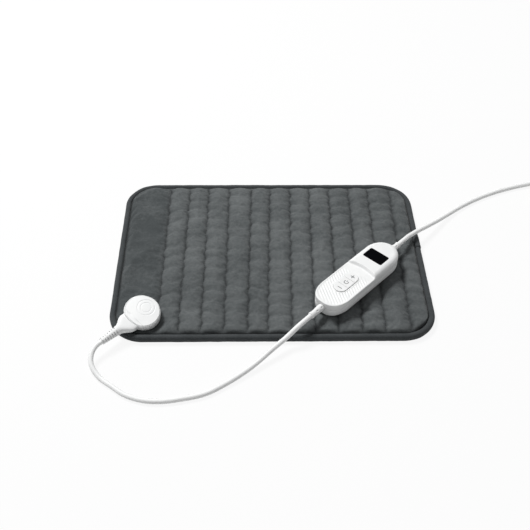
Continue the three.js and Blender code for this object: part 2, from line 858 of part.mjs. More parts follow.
function plug_relief() {
  const start = socket_mouth_at + 2 * seat_gap + plug_body_length;
  const pitch = plug_relief_length / plug_relief_ribs;
  const steps = [];
  for (let rib = 0; rib < plug_relief_ribs; rib += 1) {
    const share = rib / (plug_relief_ribs - 1);
    const radius = plug_relief_start_radius + (plug_relief_end_radius - plug_relief_start_radius) * share;
    const from = start + rib * pitch;
    steps.push([from, radius], [from + pitch / 2, radius]);
    if (rib + 1 < plug_relief_ribs) {
      steps.push([from + pitch / 2, radius - plug_rib_depth], [from + pitch, radius - plug_rib_depth]);
    }
  }
  steps.push([start + plug_relief_length, plug_relief_end_radius]);
  return turned(steps, 10).translate(0, 0, contact_height);
}

function build_plug() {
  const group = group_at(socket_frame);
  part("plug_body", plug_body(), "white_shell", group);
  part("plug_relief", plug_relief(), "white_rubber", group);
  const low = contact_height - tongue_height / 2;
  const middle = (tongue_root + tongue_tip) / 2;
  const tongue = block(tongue_root - tongue_tip, tongue_width, low, low + tongue_height, middle);
  const sleeve_inner = pin_radius + seat_gap;
  const sleeve_outer = sleeve_inner + sleeve_wall;
  const bores = [];
  for (let contact = 0; contact < contact_count; contact += 1) {
    const y = contact_place(contact);
    const sleeve_start = tongue_tip + seat_gap;
    const sleeve = bar(sleeve_outer, sleeve_start, sleeve_start + sleeve_length, y, contact_height, 10);
    const bore = bar(sleeve_inner, tongue_tip - cut_past, tongue_root, y, contact_height, 10);
    part(`plug_contact_${contact + 1}`, cut(sleeve, bore), "contact", group);
    const bore_end = sleeve_start + sleeve_length + seat_gap;
    bores.push(bar(sleeve_outer + seat_gap, tongue_tip - cut_past, bore_end, y, contact_height));
  }
  part("plug_tongue", cut(tongue, ...bores), "dark_part", group);
}

function build_wire_fittings() {
  const fuse_z = carrier_top + seat_gap + thermal_fuse_radius;
  const fuse_half = thermal_fuse_length / 2;
  const fuse = bar(thermal_fuse_radius, -fuse_half, fuse_half);
  part("thermal_fuse", fuse.translate(thermal_fuse_x, thermal_fuse_y(), fuse_z), "dark_part");
  const sensor = bar(sensor_radius, -sensor_length / 2, sensor_length / 2).rotateZ(Math.PI / 2);
  const sensor_z = carrier_top + seat_gap + sensor_radius;
  part("temperature_sensor", sensor.translate(sensor_x, sensor_y, sensor_z), "dark_part");
}

// Controller

function controller_points(side_inset, end_inset) {
  const half_width = controller_width / 2 - side_inset;
  const ends = [
    { round: far_round, power: 2 / far_power, side: 1 },
    { round: near_round, power: 2 / near_power, side: -1 },
  ];
  const points = [];
  for (const { round, power, side } of ends) {
    const middle = controller_length / 2 - round;
    const reach = round - end_inset;
    for (let step = 0; step <= outline_steps; step += 1) {
      const turn = Math.PI * (step / outline_steps - 0.5);
      const x = side * (middle + reach * Math.cos(turn) ** power);
      points.push(new THREE.Vector2(x, side * half_width * signed_power(Math.sin(turn), power)));
    }
  }
  return points;
}

function controller_shape(inset) {
  return new THREE.Shape(controller_points(inset, inset));
}

// The underside is drawn in on a curve, more along its sides than at its ends
function underside_ring(height, inset) {
  const curve = 1 - pillow(height, underside_round);
  const side_inset = inset + underside_side_inset * curve;
  const end_inset = inset + underside_end_inset * curve;
  return controller_points(side_inset, end_inset).map(({ x, y }) => new THREE.Vector3(x, y, height));
}

function boat(heights, inset) {
  return skin(heights.map((height) => underside_ring(height, inset)));
}

function boss_places() {
  return [
    [boss_x, boss_y, display_ceiling],
    [boss_x, -boss_y, display_ceiling],
    [-boss_x, boss_y, keypad_ceiling],
    [-boss_x, -boss_y, keypad_ceiling],
  ];
}

// The keypad's side of the curved step
function near_side(low, high) {
  const middle = step_at - step_radius;
  const shape = new THREE.Shape();
  shape.moveTo(-controller_length, -step_radius);
  shape.absarc(middle, 0, step_radius, -Math.PI / 2, Math.PI / 2);
  shape.lineTo(-controller_length, step_radius);
  return slab(shape, low, high, 16);
}

function sleeve_opening() {
  const reach = controller_length;
  return bar(sleeve_groove_radius + seat_gap, -reach, reach, 0, parting_height, 16);
}

function pill_shape(grow) {
  return rounded_rectangle(pill_length / 2 + grow, pill_width / 2 + grow, pill_width / 2 + grow);
}

function window_shape(grow) {
  return rounded_rectangle(window_length / 2 + grow, window_width / 2 + grow, window_corner + grow);
}

function build_shells(group) {
  const low = parting_height + seat_gap;
  const keypad = soft_slab(controller_shape(0), low - keypad_edge, keypad_height, keypad_edge);
  const display = soft_slab(controller_shape(0), low - display_edge, display_height, display_edge, 3);
  const below = block(2 * controller_length, 2 * controller_width, low - 2 * display_edge, low);
  const raised = cut(display, near_side(0, 2 * display_height));
  const flat = common(keypad, near_side(0, 2 * display_height));
  const filled = cut(joined(flat, raised), below);
  const inside = controller_shape(shell_wall);
  const keypad_room = slab(inside, low - cut_past, keypad_ceiling);
  const room_edge = display_edge - shell_wall;
  const display_room = soft_slab(inside, low - display_edge, display_ceiling, room_edge);
  const step_wall = near_side(0, 2 * display_height).translate(shell_wall, 0, 0);
  const hollow = cut(filled, keypad_room, cut(display_room, step_wall));
  const bosses = boss_places().map(([x, y, ceiling]) => {
    return post(boss_radius, board_top + seat_gap, ceiling + cut_past, x, y);
  });
  const holes = boss_places().map(([x, y]) => {
    return post(screw_radius + seat_gap, board_top, board_top + screw_bite + 2 * seat_gap, x, y);
  });
  const pill = slab(pill_shape(slide_gap), keypad_ceiling - cut_past, keypad_height + cut_past);
  const window = slab(window_shape(seat_gap), display_ceiling - cut_past, display_height + cut_past);
  const openings = [pill.translate(pill_x, 0, 0), window.translate(window_x, 0, 0), sleeve_opening()];
  part("controller_top_shell", cut(joined(hollow, ...bosses), ...holes, ...openings), "white_shell", group);

  const heights = [...underside_shares.map((share) => share * underside_round), parting_height];
  const room_curve = room_shares.map((share) => share * underside_round);
  const room_heights = [shell_wall, ...room_curve, parting_height + cut_past];
  const tray = cut(boat(heights, 0), boat(room_heights, shell_wall));
  const standoffs = boss_places().map(([x, y]) => post(boss_radius, cut_past, board_bottom - seat_gap, x, y));
  const ways = boss_places().map(([x, y]) => post(screw_radius + seat_gap, -cut_past, board_top, x, y));
  const recesses = boss_places().map(([x, y]) => {
    const depth = screw_head_recess + screw_head_height + seat_gap;
    return post(screw_head_radius + seat_gap, -cut_past, depth, x, y);
  });
  const bottom = cut(joined(tray, ...standoffs), ...ways, ...recesses, sleeve_opening());
  part("controller_bottom_shell", bottom, "white_shell", group);
  boss_places().forEach(([x, y], screw) => {
    const head = post(screw_head_radius, screw_head_recess, screw_head_recess + screw_head_height, x, y, 12);
    const shaft_low = screw_head_recess + screw_head_height / 2;
    const shaft = post(screw_radius, shaft_low, board_top + screw_bite, x, y, 10);
    part(`controller_screw_${screw + 1}`, joined(head, shaft), "steel", group);
  });
}

function build_buttons(group) {
  const flange_top = keypad_ceiling - seat_gap;
  const flange_low = flange_top - button_flange_thickness;
  const pitch = pill_length / button_names.length;
  const pill = soft_slab(pill_shape(0), flange_low, keypad_height + button_proud, button_edge);
  const dividers = [pitch / 2, -pitch / 2].map((x) => {
    return block(button_gap, 2 * pill_width, 0, 2 * keypad_height, x);
  });
  const caps = cut(pill, ...dividers);
  button_names.forEach((name, button) => {
    const offset = (button - (button_names.length - 1) / 2) * pitch;
    const strip = block(pitch + button_gap / 2, 2 * pill_width, 0, 2 * keypad_height, offset);
    const flange_width = pill_width + 2 * button_flange;
    const flange = block(pitch - button_gap, flange_width, flange_low, flange_top, offset);
    part(name, joined(common(caps, strip), flange).translate(pill_x, 0, 0), "white_rubber", group);
    const x = pill_x + offset;
    const body_top = board_top + seat_gap + switch_body_height;
    const body = block(switch_side, switch_side, board_top + seat_gap, body_top, x);
    const plunger_top = flange_low - button_travel - button_rest_gap;
    const plunger = post(switch_plunger_radius, body_top - cut_past, plunger_top, x, 0, 12);
    part(`${name}_switch`, joined(body, plunger), "dark_part", group);
  });
}

function build_display(group) {
  const low = display_height - window_thickness;
  const window = slab(window_shape(0), low, display_height).translate(window_x, 0, 0);
  part("display_window", window, "black_window", group);
  const length = window_length - 2 * module_margin;
  const width = window_width - 2 * module_margin;
  const module_body = block(length, width, board_top + seat_gap, low - seat_gap, window_x);
  part("display_module", module_body, "dark_part", group);
}

function on_board([length, width, height], x, y) {
  return block(length, width, board_top + seat_gap, board_top + seat_gap + height, x, y);
}

function build_board(group) {
  const outline = rounded_rectangle(board_length / 2, board_width / 2, board_corner);
  boss_places().forEach(([x, y]) => outline.holes.push(round_hole(x, y, screw_radius + seat_gap)));
  part("circuit_board", slab(outline, board_bottom, board_top), "board", group);
  part("triac", on_board(triac_size, triac_x, triac_y), "dark_part", group);
  part("film_capacitor", on_board(capacitor_size, capacitor_x, capacitor_y), "wire", group);
  part("control_chip", on_board(chip_size, chip_x, chip_y), "dark_part", group);
  const fuse_z = board_top + seat_gap + fuse_radius;
  const fuse = bar(fuse_radius, fuse_x - fuse_length / 2, fuse_x + fuse_length / 2, fuse_y, fuse_z);
  part("mains_fuse", fuse, "steel", group);
}

// A sleeve that grips the wall of the shells, along +X from the controller's end
function lead_sleeve(length) {
  const wall_out = controller_length / 2;
  const wall_in = wall_out - shell_wall;
  const outside = wall_out + seat_gap;
  const inside = wall_in - sleeve_collar_inset;
  const steps = [
    [inside - sleeve_collar_length, sleeve_collar_radius],
    [inside, sleeve_collar_radius],
    [inside, sleeve_groove_radius],
    [outside, sleeve_groove_radius],
    [outside, sleeve_root_radius],
    [outside + sleeve_collar_length, sleeve_root_radius],
    [wall_out + length, sleeve_end_radius],
  ];
  return turned(steps, 14);
}

function build_controller() {
  const group = group_at(controller_frame);
  build_shells(group);
  build_buttons(group);
  build_display(group);
  build_board(group);
  const near = lead_sleeve(near_sleeve_length).rotateZ(Math.PI).translate(0, 0, parting_height);
  part("pad_lead_sleeve", near, "white_rubber", group);
  const far = lead_sleeve(far_sleeve_length).translate(0, 0, parting_height);
  part("mains_lead_sleeve", far, "white_rubber", group);
}

// Leads

function sleeve_end(side, length) {
  const x = side * (controller_length / 2 + length + seat_gap);
  return end_in(controller_frame, x, 0, parting_height, side);
}

function plug_end() {
  const x = socket_mouth_at + plug_body_length + plug_relief_length + 3 * seat_gap;
  return end_in(socket_frame, x, 0, contact_height, 1);
}

// The coil winds inwards along the table, climbs one layer and winds out again above it
function coil_stations() {
  const turns = coil_whole_turns + coil_entry_turn / (2 * Math.PI);
  const steps = Math.round(turns * coil_loop_steps);
  const low = tie_thickness + tie_gap + lead_radius;
  const stations = [];
  for (let step = 0; step <= steps; step += 1) {
    const turned_by = (turns * step) / steps;
    const from_middle = turned_by - turns / 2;
    const radius = coil_outer_radius - coil_turn_pitch * (turns / 2 - Math.abs(from_middle));
    const height = low + coil_layer_pitch * smooth(2 * from_middle + 0.5);
    const angle = coil_entry_turn - 2 * Math.PI * turned_by;
    const x = coil_x + radius * Math.cos(angle);
    stations.push(new THREE.Vector3(x, coil_y + radius * Math.sin(angle), height));
  }
  return stations;
}

// Each end of the coil runs straight on for one diameter
function with_straight_ends(stations) {
  const first = stations[0];
  const last = stations[stations.length - 1];
  const way_in = first.clone().sub(stations[1]).setZ(0).setLength(2 * lead_radius);
  const way_out = last.clone().sub(stations[stations.length - 2]).setZ(0).setLength(2 * lead_radius);
  return [first.clone().add(way_in), ...stations, last.clone().add(way_out)];
}

function least_self_gap(stations) {
  let least = Infinity;
  const apart = Math.ceil(coil_loop_steps / 2);
  for (let one = 0; one < stations.length; one += 1) {
    for (let other = one + apart; other < stations.length; other += 1) {
      least = Math.min(least, stations[one].distanceTo(stations[other]) - 2 * lead_radius);
    }
  }
  return least;
}

// A band round the whole bundle, as wide as the turns that pass through it
function coil_tie(stations) {
  const passing = [];
  for (const station of stations) {
    const offset = station.clone().sub(new THREE.Vector3(coil_x, coil_y, 0));
    offset.applyAxisAngle(new THREE.Vector3(0, 0, 1), -tie_turn);
    if (offset.x > 0 && Math.abs(offset.y) < tie_width) {
      passing.push(offset);
    }
  }
  const inner = Math.min(...passing.map((offset) => offset.x));
  const outer = Math.max(...passing.map((offset) => Math.hypot(offset.x, offset.y)));
  const half_length = (outer - inner) / 2 + lead_radius + tie_gap;
  const half_height = coil_layer_pitch / 2 + lead_radius + tie_gap;
  const shape = rounded_rectangle(half_length + tie_thickness, half_height + tie_thickness, tie_corner);
  const hole = rounded_rectangle(half_length, half_height, tie_corner - tie_thickness);
  shape.holes.push(new THREE.Path(hole.getPoints(3).reverse()));
  const band = slab(shape, -tie_width / 2, tie_width / 2, 3).rotateX(Math.PI / 2);
  const placed = band.translate((outer + inner) / 2, 0, half_height + tie_thickness);
  return placed.rotateZ(tie_turn).translate(coil_x, coil_y, 0);
}

// The mains plug lies beyond the coil's tail, its pins towards -Y
function mains_plug_body() {
  const sides = 20;
  const rings = [];
  for (const share of [0, 0.25, 0.5, 0.75, 1]) {
    const flare = (mains_plug_width - mains_plug_root_width) * smooth(share);
    const half_width = (mains_plug_root_width + flare) / 2;
    const ring = [];
    for (let side = 0; side < sides; side += 1) {
      const turn = (2 * Math.PI * side) / sides;
      const power = 2 / plug_section_power;
      const y = half_width * signed_power(Math.cos(turn), power);
      const z = (mains_plug_height / 2) * signed_power(Math.sin(turn), power);
      ring.push(new THREE.Vector3(mains_plug_length * share, y, z));
    }
    rings.push(ring);
  }
  return skin(rings);
}

// An end of the coil, seen from the lead that goes on from it
function coil_end(tip, inner) {
  const way = tip.clone().sub(inner).normalize();
  return { place: tip.clone().addScaledVector(way, seat_gap), way };
}

// The pad lead's points follow the socket, wholly beside the plug and less towards the controller
function pad_lead_route() {
  const last = pad_lead_points.length - 1;
  return pad_lead_points.map(([x, y, z], number) => {
    const share = 1 - number / last;
    const along_x = (socket_x - drawn_socket_x) * share;
    const along_y = (socket_y - drawn_socket_y) * share;
    return [x + along_x, y + along_y, z];
  });
}

function build_leads() {
  const near_end = sleeve_end(-1, near_sleeve_length);
  part("pad_lead", lead(plug_end(), pad_lead_route(), near_end), "white_rubber");

  const wound = coil_stations();
  const gap = least_self_gap(wound);
  console.log(`least gap between the coil's turns ${gap.toFixed(2)} mm, wanted over ${least_coil_gap}`);
  const coil = with_straight_ends(wound);
  part("mains_coil", tube(coil, lead_radius, coil_sides), "white_rubber");
  part("coil_tie", coil_tie(wound), "dark_part");
  const coil_mouth = coil_end(coil[0], coil[1]);
  const far_end = sleeve_end(1, far_sleeve_length);
  part("mains_lead", lead(far_end, mains_lead_points, coil_mouth), "white_rubber");

  const tail_start = coil_end(coil[coil.length - 1], coil[coil.length - 2]);
  const plug_height = mains_plug_lift + mains_plug_height / 2;
  const tail_place = tail_start.place.clone().addScaledVector(tail_start.way, tail_length).setZ(plug_height);
  const tail_finish = { place: tail_place, way: tail_start.way.clone().negate() };
  part("mains_tail", lead(tail_start, [], tail_finish), "white_rubber");
  build_mains_plug(tail_finish.place, tail_start.way);
}

function build_mains_plug(place, way) {
  const group = new THREE.Group();
  group.position.copy(place).addScaledVector(way, seat_gap);
  group.rotation.z = Math.atan2(way.y, way.x);
  heating_pad.add(group);
  const relief = [
    [0, mains_plug_relief_start_radius],
    [mains_plug_relief_length, mains_plug_relief_end_radius],
  ];
  part("mains_plug_relief", turned(relief, 14), "white_rubber", group);
  const body_start = mains_plug_relief_length + seat_gap;
  const pin_start = body_start + mains_plug_length - mains_pin_seat;
  const pin_end = pin_start + mains_pin_seat + mains_pin_length;
  const pin_places = [mains_pin_spacing / 2, -mains_pin_spacing / 2];
  const seats = pin_places.map((y) => bar(mains_pin_radius + seat_gap, pin_start - seat_gap, pin_end, y));
  const body = cut(mains_plug_body().translate(body_start, 0, 0), ...seats);
  part("mains_plug_body", body, "white_shell", group);
  pin_places.forEach((y, pin) => {
    part(`mains_plug_pin_${pin + 1}`, bar(mains_pin_radius, pin_start, pin_end, y), "steel", group);
  });
}

build_pad();
build_socket();
build_plug();
build_wire_fittings();
build_controller();
build_leads();

export default heating_pad;
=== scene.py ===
# A quilted heating pad with a plug-in lead and a hand controller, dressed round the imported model.
# Sizes are in millimetres, in the frame of the model, until a mesh is made in metres.
import math

import bmesh
import bpy
import numpy as np
from mathutils import Matrix, Vector


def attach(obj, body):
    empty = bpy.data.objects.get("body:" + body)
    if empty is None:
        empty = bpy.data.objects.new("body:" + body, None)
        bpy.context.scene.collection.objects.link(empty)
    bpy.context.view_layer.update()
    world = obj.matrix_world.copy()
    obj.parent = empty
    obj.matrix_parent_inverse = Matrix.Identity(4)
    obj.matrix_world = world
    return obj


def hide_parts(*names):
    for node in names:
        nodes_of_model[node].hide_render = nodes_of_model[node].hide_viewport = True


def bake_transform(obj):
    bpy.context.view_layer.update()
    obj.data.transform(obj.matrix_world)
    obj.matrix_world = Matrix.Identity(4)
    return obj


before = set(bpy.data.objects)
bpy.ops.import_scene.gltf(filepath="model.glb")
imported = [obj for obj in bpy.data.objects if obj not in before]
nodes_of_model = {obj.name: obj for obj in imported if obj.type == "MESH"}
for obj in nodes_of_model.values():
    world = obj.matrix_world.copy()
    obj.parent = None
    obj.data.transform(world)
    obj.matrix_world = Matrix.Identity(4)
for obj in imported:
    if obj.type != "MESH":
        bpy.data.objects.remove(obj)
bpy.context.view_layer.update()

mm = 0.001

# Pad and its quilting
pad_half_width = 195.0
pad_half_depth = 143.0
pad_corner = 42.0
binding_half_width = 3.9
binding_half_height = 4.8
binding_middle_height = 5.0
lap_at = 13.0
lap_length = 14.0
lap_rise = 0.2
cover_inset = 8.1
cover_half_width = pad_half_width - cover_inset
cover_half_depth = pad_half_depth - cover_inset
cover_corner = pad_corner - cover_inset
back_thickness = 2.2
cover_underside = 7.5
crown_height = 13.0
stitch_height = 9.2
edge_height = 8.4
panel_round = 20.0
end_round = 14.0
front_end_round = 9.0
back_scallop = 9.0
front_scallop = 3.0
seam_wander = 0.8
seam_bulge = 1.5
gather_pitch = 7.3
gather_depth = 0.8
# Width of the painted shade along each sewn line
seam_shade_width = 1.35
crease_width = 4.8
rim_width = 1.5
rim_depth = 0.5
lift_core = 12.0
press_core = 23.0
press_fade = 14.0
held_core = 24.0
stitch_free_core = 22.0
under_margin = 6.0
under_slope = 0.5
settle_frames = 20
settle_most = 2.6
stitch_pitch = 3.6
stitch_margin = 6.0
# Where each sewn line meets the front edge and the back edge
seam_front = np.array([-137.3, -112.0, -85.4, -58.4, -30.6, -7.1, 21.9, 49.3, 76.9, 105.8, 132.3, 162.4])
seam_back = np.array([-134.9, -108.6, -82.9, -54.5, -23.9, 1.8, 29.0, 55.4, 82.7, 109.9, 136.4, 166.5])
panel_columns = 26
channel_columns = 12
last_columns = 9
quilt_rows = 122
back_columns = 61
back_rows = 47

# Socket and plug, along +X in the socket's own frame
socket_origin = np.array([-155.0, -109.4, crown_height])
socket_up = np.array([0.115, -0.17, 1.0])
plug_heading = math.radians(225.0)
seat_gap = 0.3
socket_radius = 21.0
socket_top = 8.7
socket_wall = 1.8
mouth_at = 17.2
mouth_bulge = 2.2
mouth_opening_half = 8.9
mouth_half = math.sqrt(socket_radius**2 - mouth_at**2)
contact_height = 4.4
plug_length = 20.5
plug_root_half = 12.8
plug_root_half_height = 3.9
plug_tail_radius = 5.6
relief_length = 22.0
relief_ribs = 7
relief_start_radius = 5.4
relief_end_radius = 4.0
cap_rise = 1.6
cap_slope = 0.11
cap_widening = 0.07
cap_mark_x = -5.8
cap_mark_radii = (6.4, 10.4)
cap_mark_depth = 0.24
cap_crease_x = 13.4
cap_crease_depth = 0.5

# Controller, along +X in its own frame
controller_origin = np.array([104.4, -60.2, 13.3])
controller_heading = math.radians(46.0)
controller_half_length = 68.0
controller_half_width = 21.7
far_round = 26.0
far_power = 2.0
near_round = 29.0
near_power = 2.5
parting_height = 12.4
keypad_height = 20.7
keypad_edge = 0.9
display_height = 24.4
display_edge = 6.0
step_at = 10.6
step_radius = 55.0
rib_pitch = 3.4
rib_depth = 0.65
rib_lean = math.radians(57.0)
rib_end = 2.0
rib_fade = 14.0
rib_margin = 1.6
shell_wall = 2.0
parting_lip = 0.4
underside_round = 8.0
underside_side_inset = 7.0
underside_end_inset = 3.5
window_x = 34.3
window_half_length = 8.8
window_half_width = 13.8
window_corner = 1.8
window_thickness = 1.6
pill_x = -23.4
pill_half_length = 18.5
pill_half_width = 8.2
pill_groove_depth = 0.3
button_proud = 0.8
button_gap = 0.26
slide_gap = 0.4
screw_x = 52.0
screw_y = 8.5
screw_recess_radius = 2.8
sleeve_bore = 4.0
sleeve_groove_radius = 3.7
sleeve_root_radius = 4.4
sleeve_end_radius = 3.5
collar_at = 0.86
collar_height = 0.55
slot_turn = 0.62
slot_shares = (0.14, 0.5)
slot_half_length = 1.2
slot_half_width = 0.8
slot_depth = 2.4
near_sleeve_length = 20.0
far_sleeve_length = 14.0

# Leads, along the same listed points as the model's
lead_radius = 3.0
lead_step = 2.5
lead_overlap = 1.5
pad_lead_points = [
    (-205.6, -162.8, 13.8), (-207.8, -171.2, 11.1), (-206.0, -181.9, 7.4), (-196.4, -195.2, 3.6),
    (-181.7, -207.4, 3.2), (-165.2, -219.9, 3.1), (-145.4, -227.2, 3.1), (-126.1, -228.7, 3.1),
    (-103.4, -225.5, 3.1), (-77.8, -218.8, 3.2), (-52.7, -203.3, 3.3), (-27.0, -184.0, 5.6),
    (-0.5, -160.4, 11.5), (15.5, -146.6, 15.4), (26.5, -138.9, 22.3),
]
mains_lead_points = [
    (171.0, 9.6, 24.6), (176.9, 18.2, 21.6), (188.6, 31.0, 17.9), (200.2, 41.9, 14.9), (212.6, 53.2, 11.9),
    (226.6, 66.6, 8.3), (242.0, 81.6, 5.0), (259.5, 96.9, 3.4), (284.0, 114.0, 3.1), (313.0, 129.8, 3.1),
    (345.0, 142.6, 3.2), (375.0, 151.3, 3.8),
]
coil_middle = np.array([416.5, 113.0])
coil_outer_radius = 46.0
coil_pitch = 6.7
coil_low = 4.4
coil_entry = math.radians(101.9)
coil_whole_turns = 6
coil_loop_steps = 24
tie_turn = math.radians(-52.0)
tie_width = 9.0
tie_thickness = 0.8
tie_gap = 0.6
tail_length = 40.0
mains_plug_height = 7.0
mains_relief_length = 30.0
mains_plug_length = 35.5
mains_plug_half_width = 13.0
mains_plug_root_half = 7.0
mains_plug_half_height = 6.8
mains_pin_radius = 2.0
mains_pin_length = 19.0
mains_pin_root = 6.0
mains_pin_offset = 9.3


# Small formulas

def smooth(share):
    """0 below 0, 1 above 1, and an easy S between."""
    held = np.clip(share, 0.0, 1.0)
    return held * held * (3.0 - 2.0 * held)


def pillow(distance, reach):
    """A quarter round: 0 at a sewn edge, 1 from the reach inwards."""
    share = np.clip(distance / reach, 0.0, 1.0)
    return np.sqrt(1.0 - (1.0 - share) ** 2)


def bell(distance, width):
    """1 at no distance, falling off softly to both sides."""
    return np.exp(-((distance / width) ** 2))


def signed_power(value, power):
    return np.sign(value) * np.abs(value) ** power


def unit(vectors):
    return vectors / np.linalg.norm(vectors, axis=-1, keepdims=True)


def wander(place, wavelength, seed):
    """Three sine waves of falling length and seeded phase, between -1 and 1."""
    phases = np.random.default_rng(seed).uniform(0.0, 2.0 * math.pi, 3)
    waves = [np.sin(2.0 * math.pi * place * share / wavelength + phase)
             for share, phase in zip((1.0, 1.618, 2.414), phases)]
    return (waves[0] + 0.6 * waves[1] + 0.4 * waves[2]) / 2.0


def mottle(x, y, wavelength, seed, count=9):
    """Plane waves in seeded directions, added up, mostly between -1 and 1."""
    chance = np.random.default_rng(seed)
    turns = chance.uniform(0.0, 2.0 * math.pi, count)
    phases = chance.uniform(0.0, 2.0 * math.pi, count)
    lengths = wavelength * chance.uniform(0.7, 1.5, count)
    waves = [np.sin(2.0 * math.pi * (x * math.cos(turn) + y * math.sin(turn)) / length + phase)
             for turn, phase, length in zip(turns, phases, lengths)]
    return sum(waves) / math.sqrt(count)


def points_of(x, y, z):
    """Three arrays of coordinates as one array of points."""
    return np.stack(np.broadcast_arrays(x, y, z), axis=-1).astype(float)


def at_height(points, height):
    return points + np.array([0.0, 0.0, height])


def full_turn(count):
    """Even angles once round."""
    return np.arange(count) * 2.0 * math.pi / count


def about_x(x, radius, turn):
    """Points at angles round the X axis."""
    return points_of(x, radius * np.cos(turn), radius * np.sin(turn))


def about_z(radius, turn, height=0.0):
    """Points at angles round the Z axis."""
    return points_of(radius * np.cos(turn), radius * np.sin(turn), height)


def squared_rings(x, half_width, half_height, power, sides):
    """Rings across the X axis, each a superellipse."""
    turn = full_turn(sides)
    y = half_width[:, None] * signed_power(np.cos(turn), power)
    z = half_height[:, None] * signed_power(np.sin(turn), power)
    return points_of(x[:, None], y, z)


def lengths_along(points):
    """How far along a line each of its points lies."""
    return np.concatenate([[0.0], np.cumsum(np.linalg.norm(np.diff(points, axis=0), axis=1))])


def places_at(stations, lengths, points):
    """The places at given lengths along a line of points."""
    return np.stack([np.interp(stations, lengths, values) for values in points.T], axis=-1)


# Frames that pieces are placed in

def leaning_axes():
    """Rows are the plug's way out, the way across it and up, tilted with the socket."""
    up = unit(socket_up)
    outward = np.array([math.cos(plug_heading), math.sin(plug_heading), 0.0])
    along = unit(outward - outward.dot(up) * up)
    return np.array([along, np.cross(up, along), up])


def turned_axes(heading):
    return np.array([
        [math.cos(heading), math.sin(heading), 0.0],
        [-math.sin(heading), math.cos(heading), 0.0],
        [0.0, 0.0, 1.0],
    ])


socket_axes = leaning_axes()
controller_axes = turned_axes(controller_heading)


def in_socket(points):
    return points @ socket_axes + socket_origin


def in_controller(points):
    return points @ controller_axes + controller_origin


# Mesh making

def grid_quads(rows, columns, wrapped=False, first=0):
    """Quads between neighbouring points of a grid; a wrapped grid joins its last column to its first."""
    index = np.arange(rows * columns).reshape(rows, columns) + first
    if wrapped:
        index = np.hstack([index, index[:, :1]])
    corners = [index[:-1, :-1], index[:-1, 1:], index[1:, 1:], index[1:, :-1]]
    return np.stack(corners, axis=-1).reshape(-1, 4).tolist()


def strip_quads(upper, lower):
    """Quads between two closed loops of point numbers."""
    return np.stack([upper, np.roll(upper, -1), np.roll(lower, -1), lower], axis=1).tolist()


def skin_of(points, capped=False):
    """Rings of points as flat points and faces; capped closes the first and last ring with a flat face."""
    rows, columns = points.shape[:2]
    faces = grid_quads(rows, columns, wrapped=True)
    if capped:
        faces.append(list(range(columns)))
        faces.append(list(range((rows - 1) * columns, rows * columns)))
    return points.reshape(-1, 3), faces


def prism(outline, low, high):
    """A flat outline between two heights."""
    return skin_of(np.stack([at_height(outline, low), at_height(outline, high)]), capped=True)


def placed(skin, place):
    """A skin moved into the frame that it belongs to."""
    points, faces = skin
    return place(points), faces


def together(*skins):
    """Several skins as one list of points and faces."""
    points = []
    faces = []
    first = 0
    for some_points, some_faces in skins:
        points.append(some_points)
        faces += [[corner + first for corner in face] for face in some_faces]
        first += len(some_points)
    return np.concatenate(points), faces


def closed_mesh(name, skin, values=None):
    """Mesh in metres from a skin in millimetres. Doubles are merged and faces turned outwards.
    Values are named numbers, one for each point."""
    points, faces = skin
    mesh = bpy.data.meshes.new(name)
    mesh.from_pydata((points * mm).tolist(), [], faces)
    for value_name, numbers in (values or {}).items():
        kind = "FLOAT_VECTOR" if numbers.ndim == 2 else "FLOAT"
        field = "vector" if numbers.ndim == 2 else "value"
        attribute = mesh.attributes.new(value_name, kind, "POINT")
        attribute.data.foreach_set(field, np.ascontiguousarray(numbers, dtype=np.float32).ravel())
    body = bmesh.new()
    body.from_mesh(mesh)
    bmesh.ops.remove_doubles(body, verts=body.verts, dist=1e-6)
    bmesh.ops.dissolve_degenerate(body, edges=body.edges, dist=1e-7)
    bmesh.ops.recalc_face_normals(body, faces=body.faces)
    body.to_mesh(mesh)
    body.free()
    return mesh


def linked_object(name, data):
    made = bpy.data.objects.new(name, data)
    bpy.context.scene.collection.objects.link(made)
    return made


def add_object(name, mesh, sharp_angle=40.0):
    """An object that is smooth but for the edges sharper than an angle."""
    mesh.polygons.foreach_set("use_smooth", np.ones(len(mesh.polygons), dtype=bool))
    mesh.set_sharp_from_angle(angle=math.radians(sharp_angle))
    return linked_object(name, mesh)


def add_piece(name, skin, material, body="pad", stands_for=(), values=None, sharp_angle=40.0):
    """A finished piece on its body, in place of the nodes that it stands for."""
    made = add_object(name, closed_mesh(name, skin, values), sharp_angle)
    made.data.materials.append(material)
    if body:
        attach(made, body)
    if stands_for:
        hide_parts(*stands_for)
    return made


def carve(made, *cutters):
    """Cuts closed skins out of a piece and keeps the result as its mesh."""
    tool = add_object("cutter", closed_mesh("cutter", together(*cutters)))
    boolean = made.modifiers.new("openings", "BOOLEAN")
    boolean.operation = "DIFFERENCE"
    boolean.solver = "EXACT"
    boolean.object = tool
    evaluated = made.evaluated_get(bpy.context.evaluated_depsgraph_get())
    carved = bpy.data.meshes.new_from_object(evaluated)
    made.modifiers.clear()
    materials = list(made.data.materials)
    made.data = carved
    made.data.materials.clear()
    made.data.materials.append(materials[0])
    carved.polygons.foreach_set("material_index", np.zeros(len(carved.polygons), dtype=np.int32))
    carved.set_sharp_from_angle(angle=math.radians(35.0))
    bpy.data.objects.remove(tool)


# Paths and sections

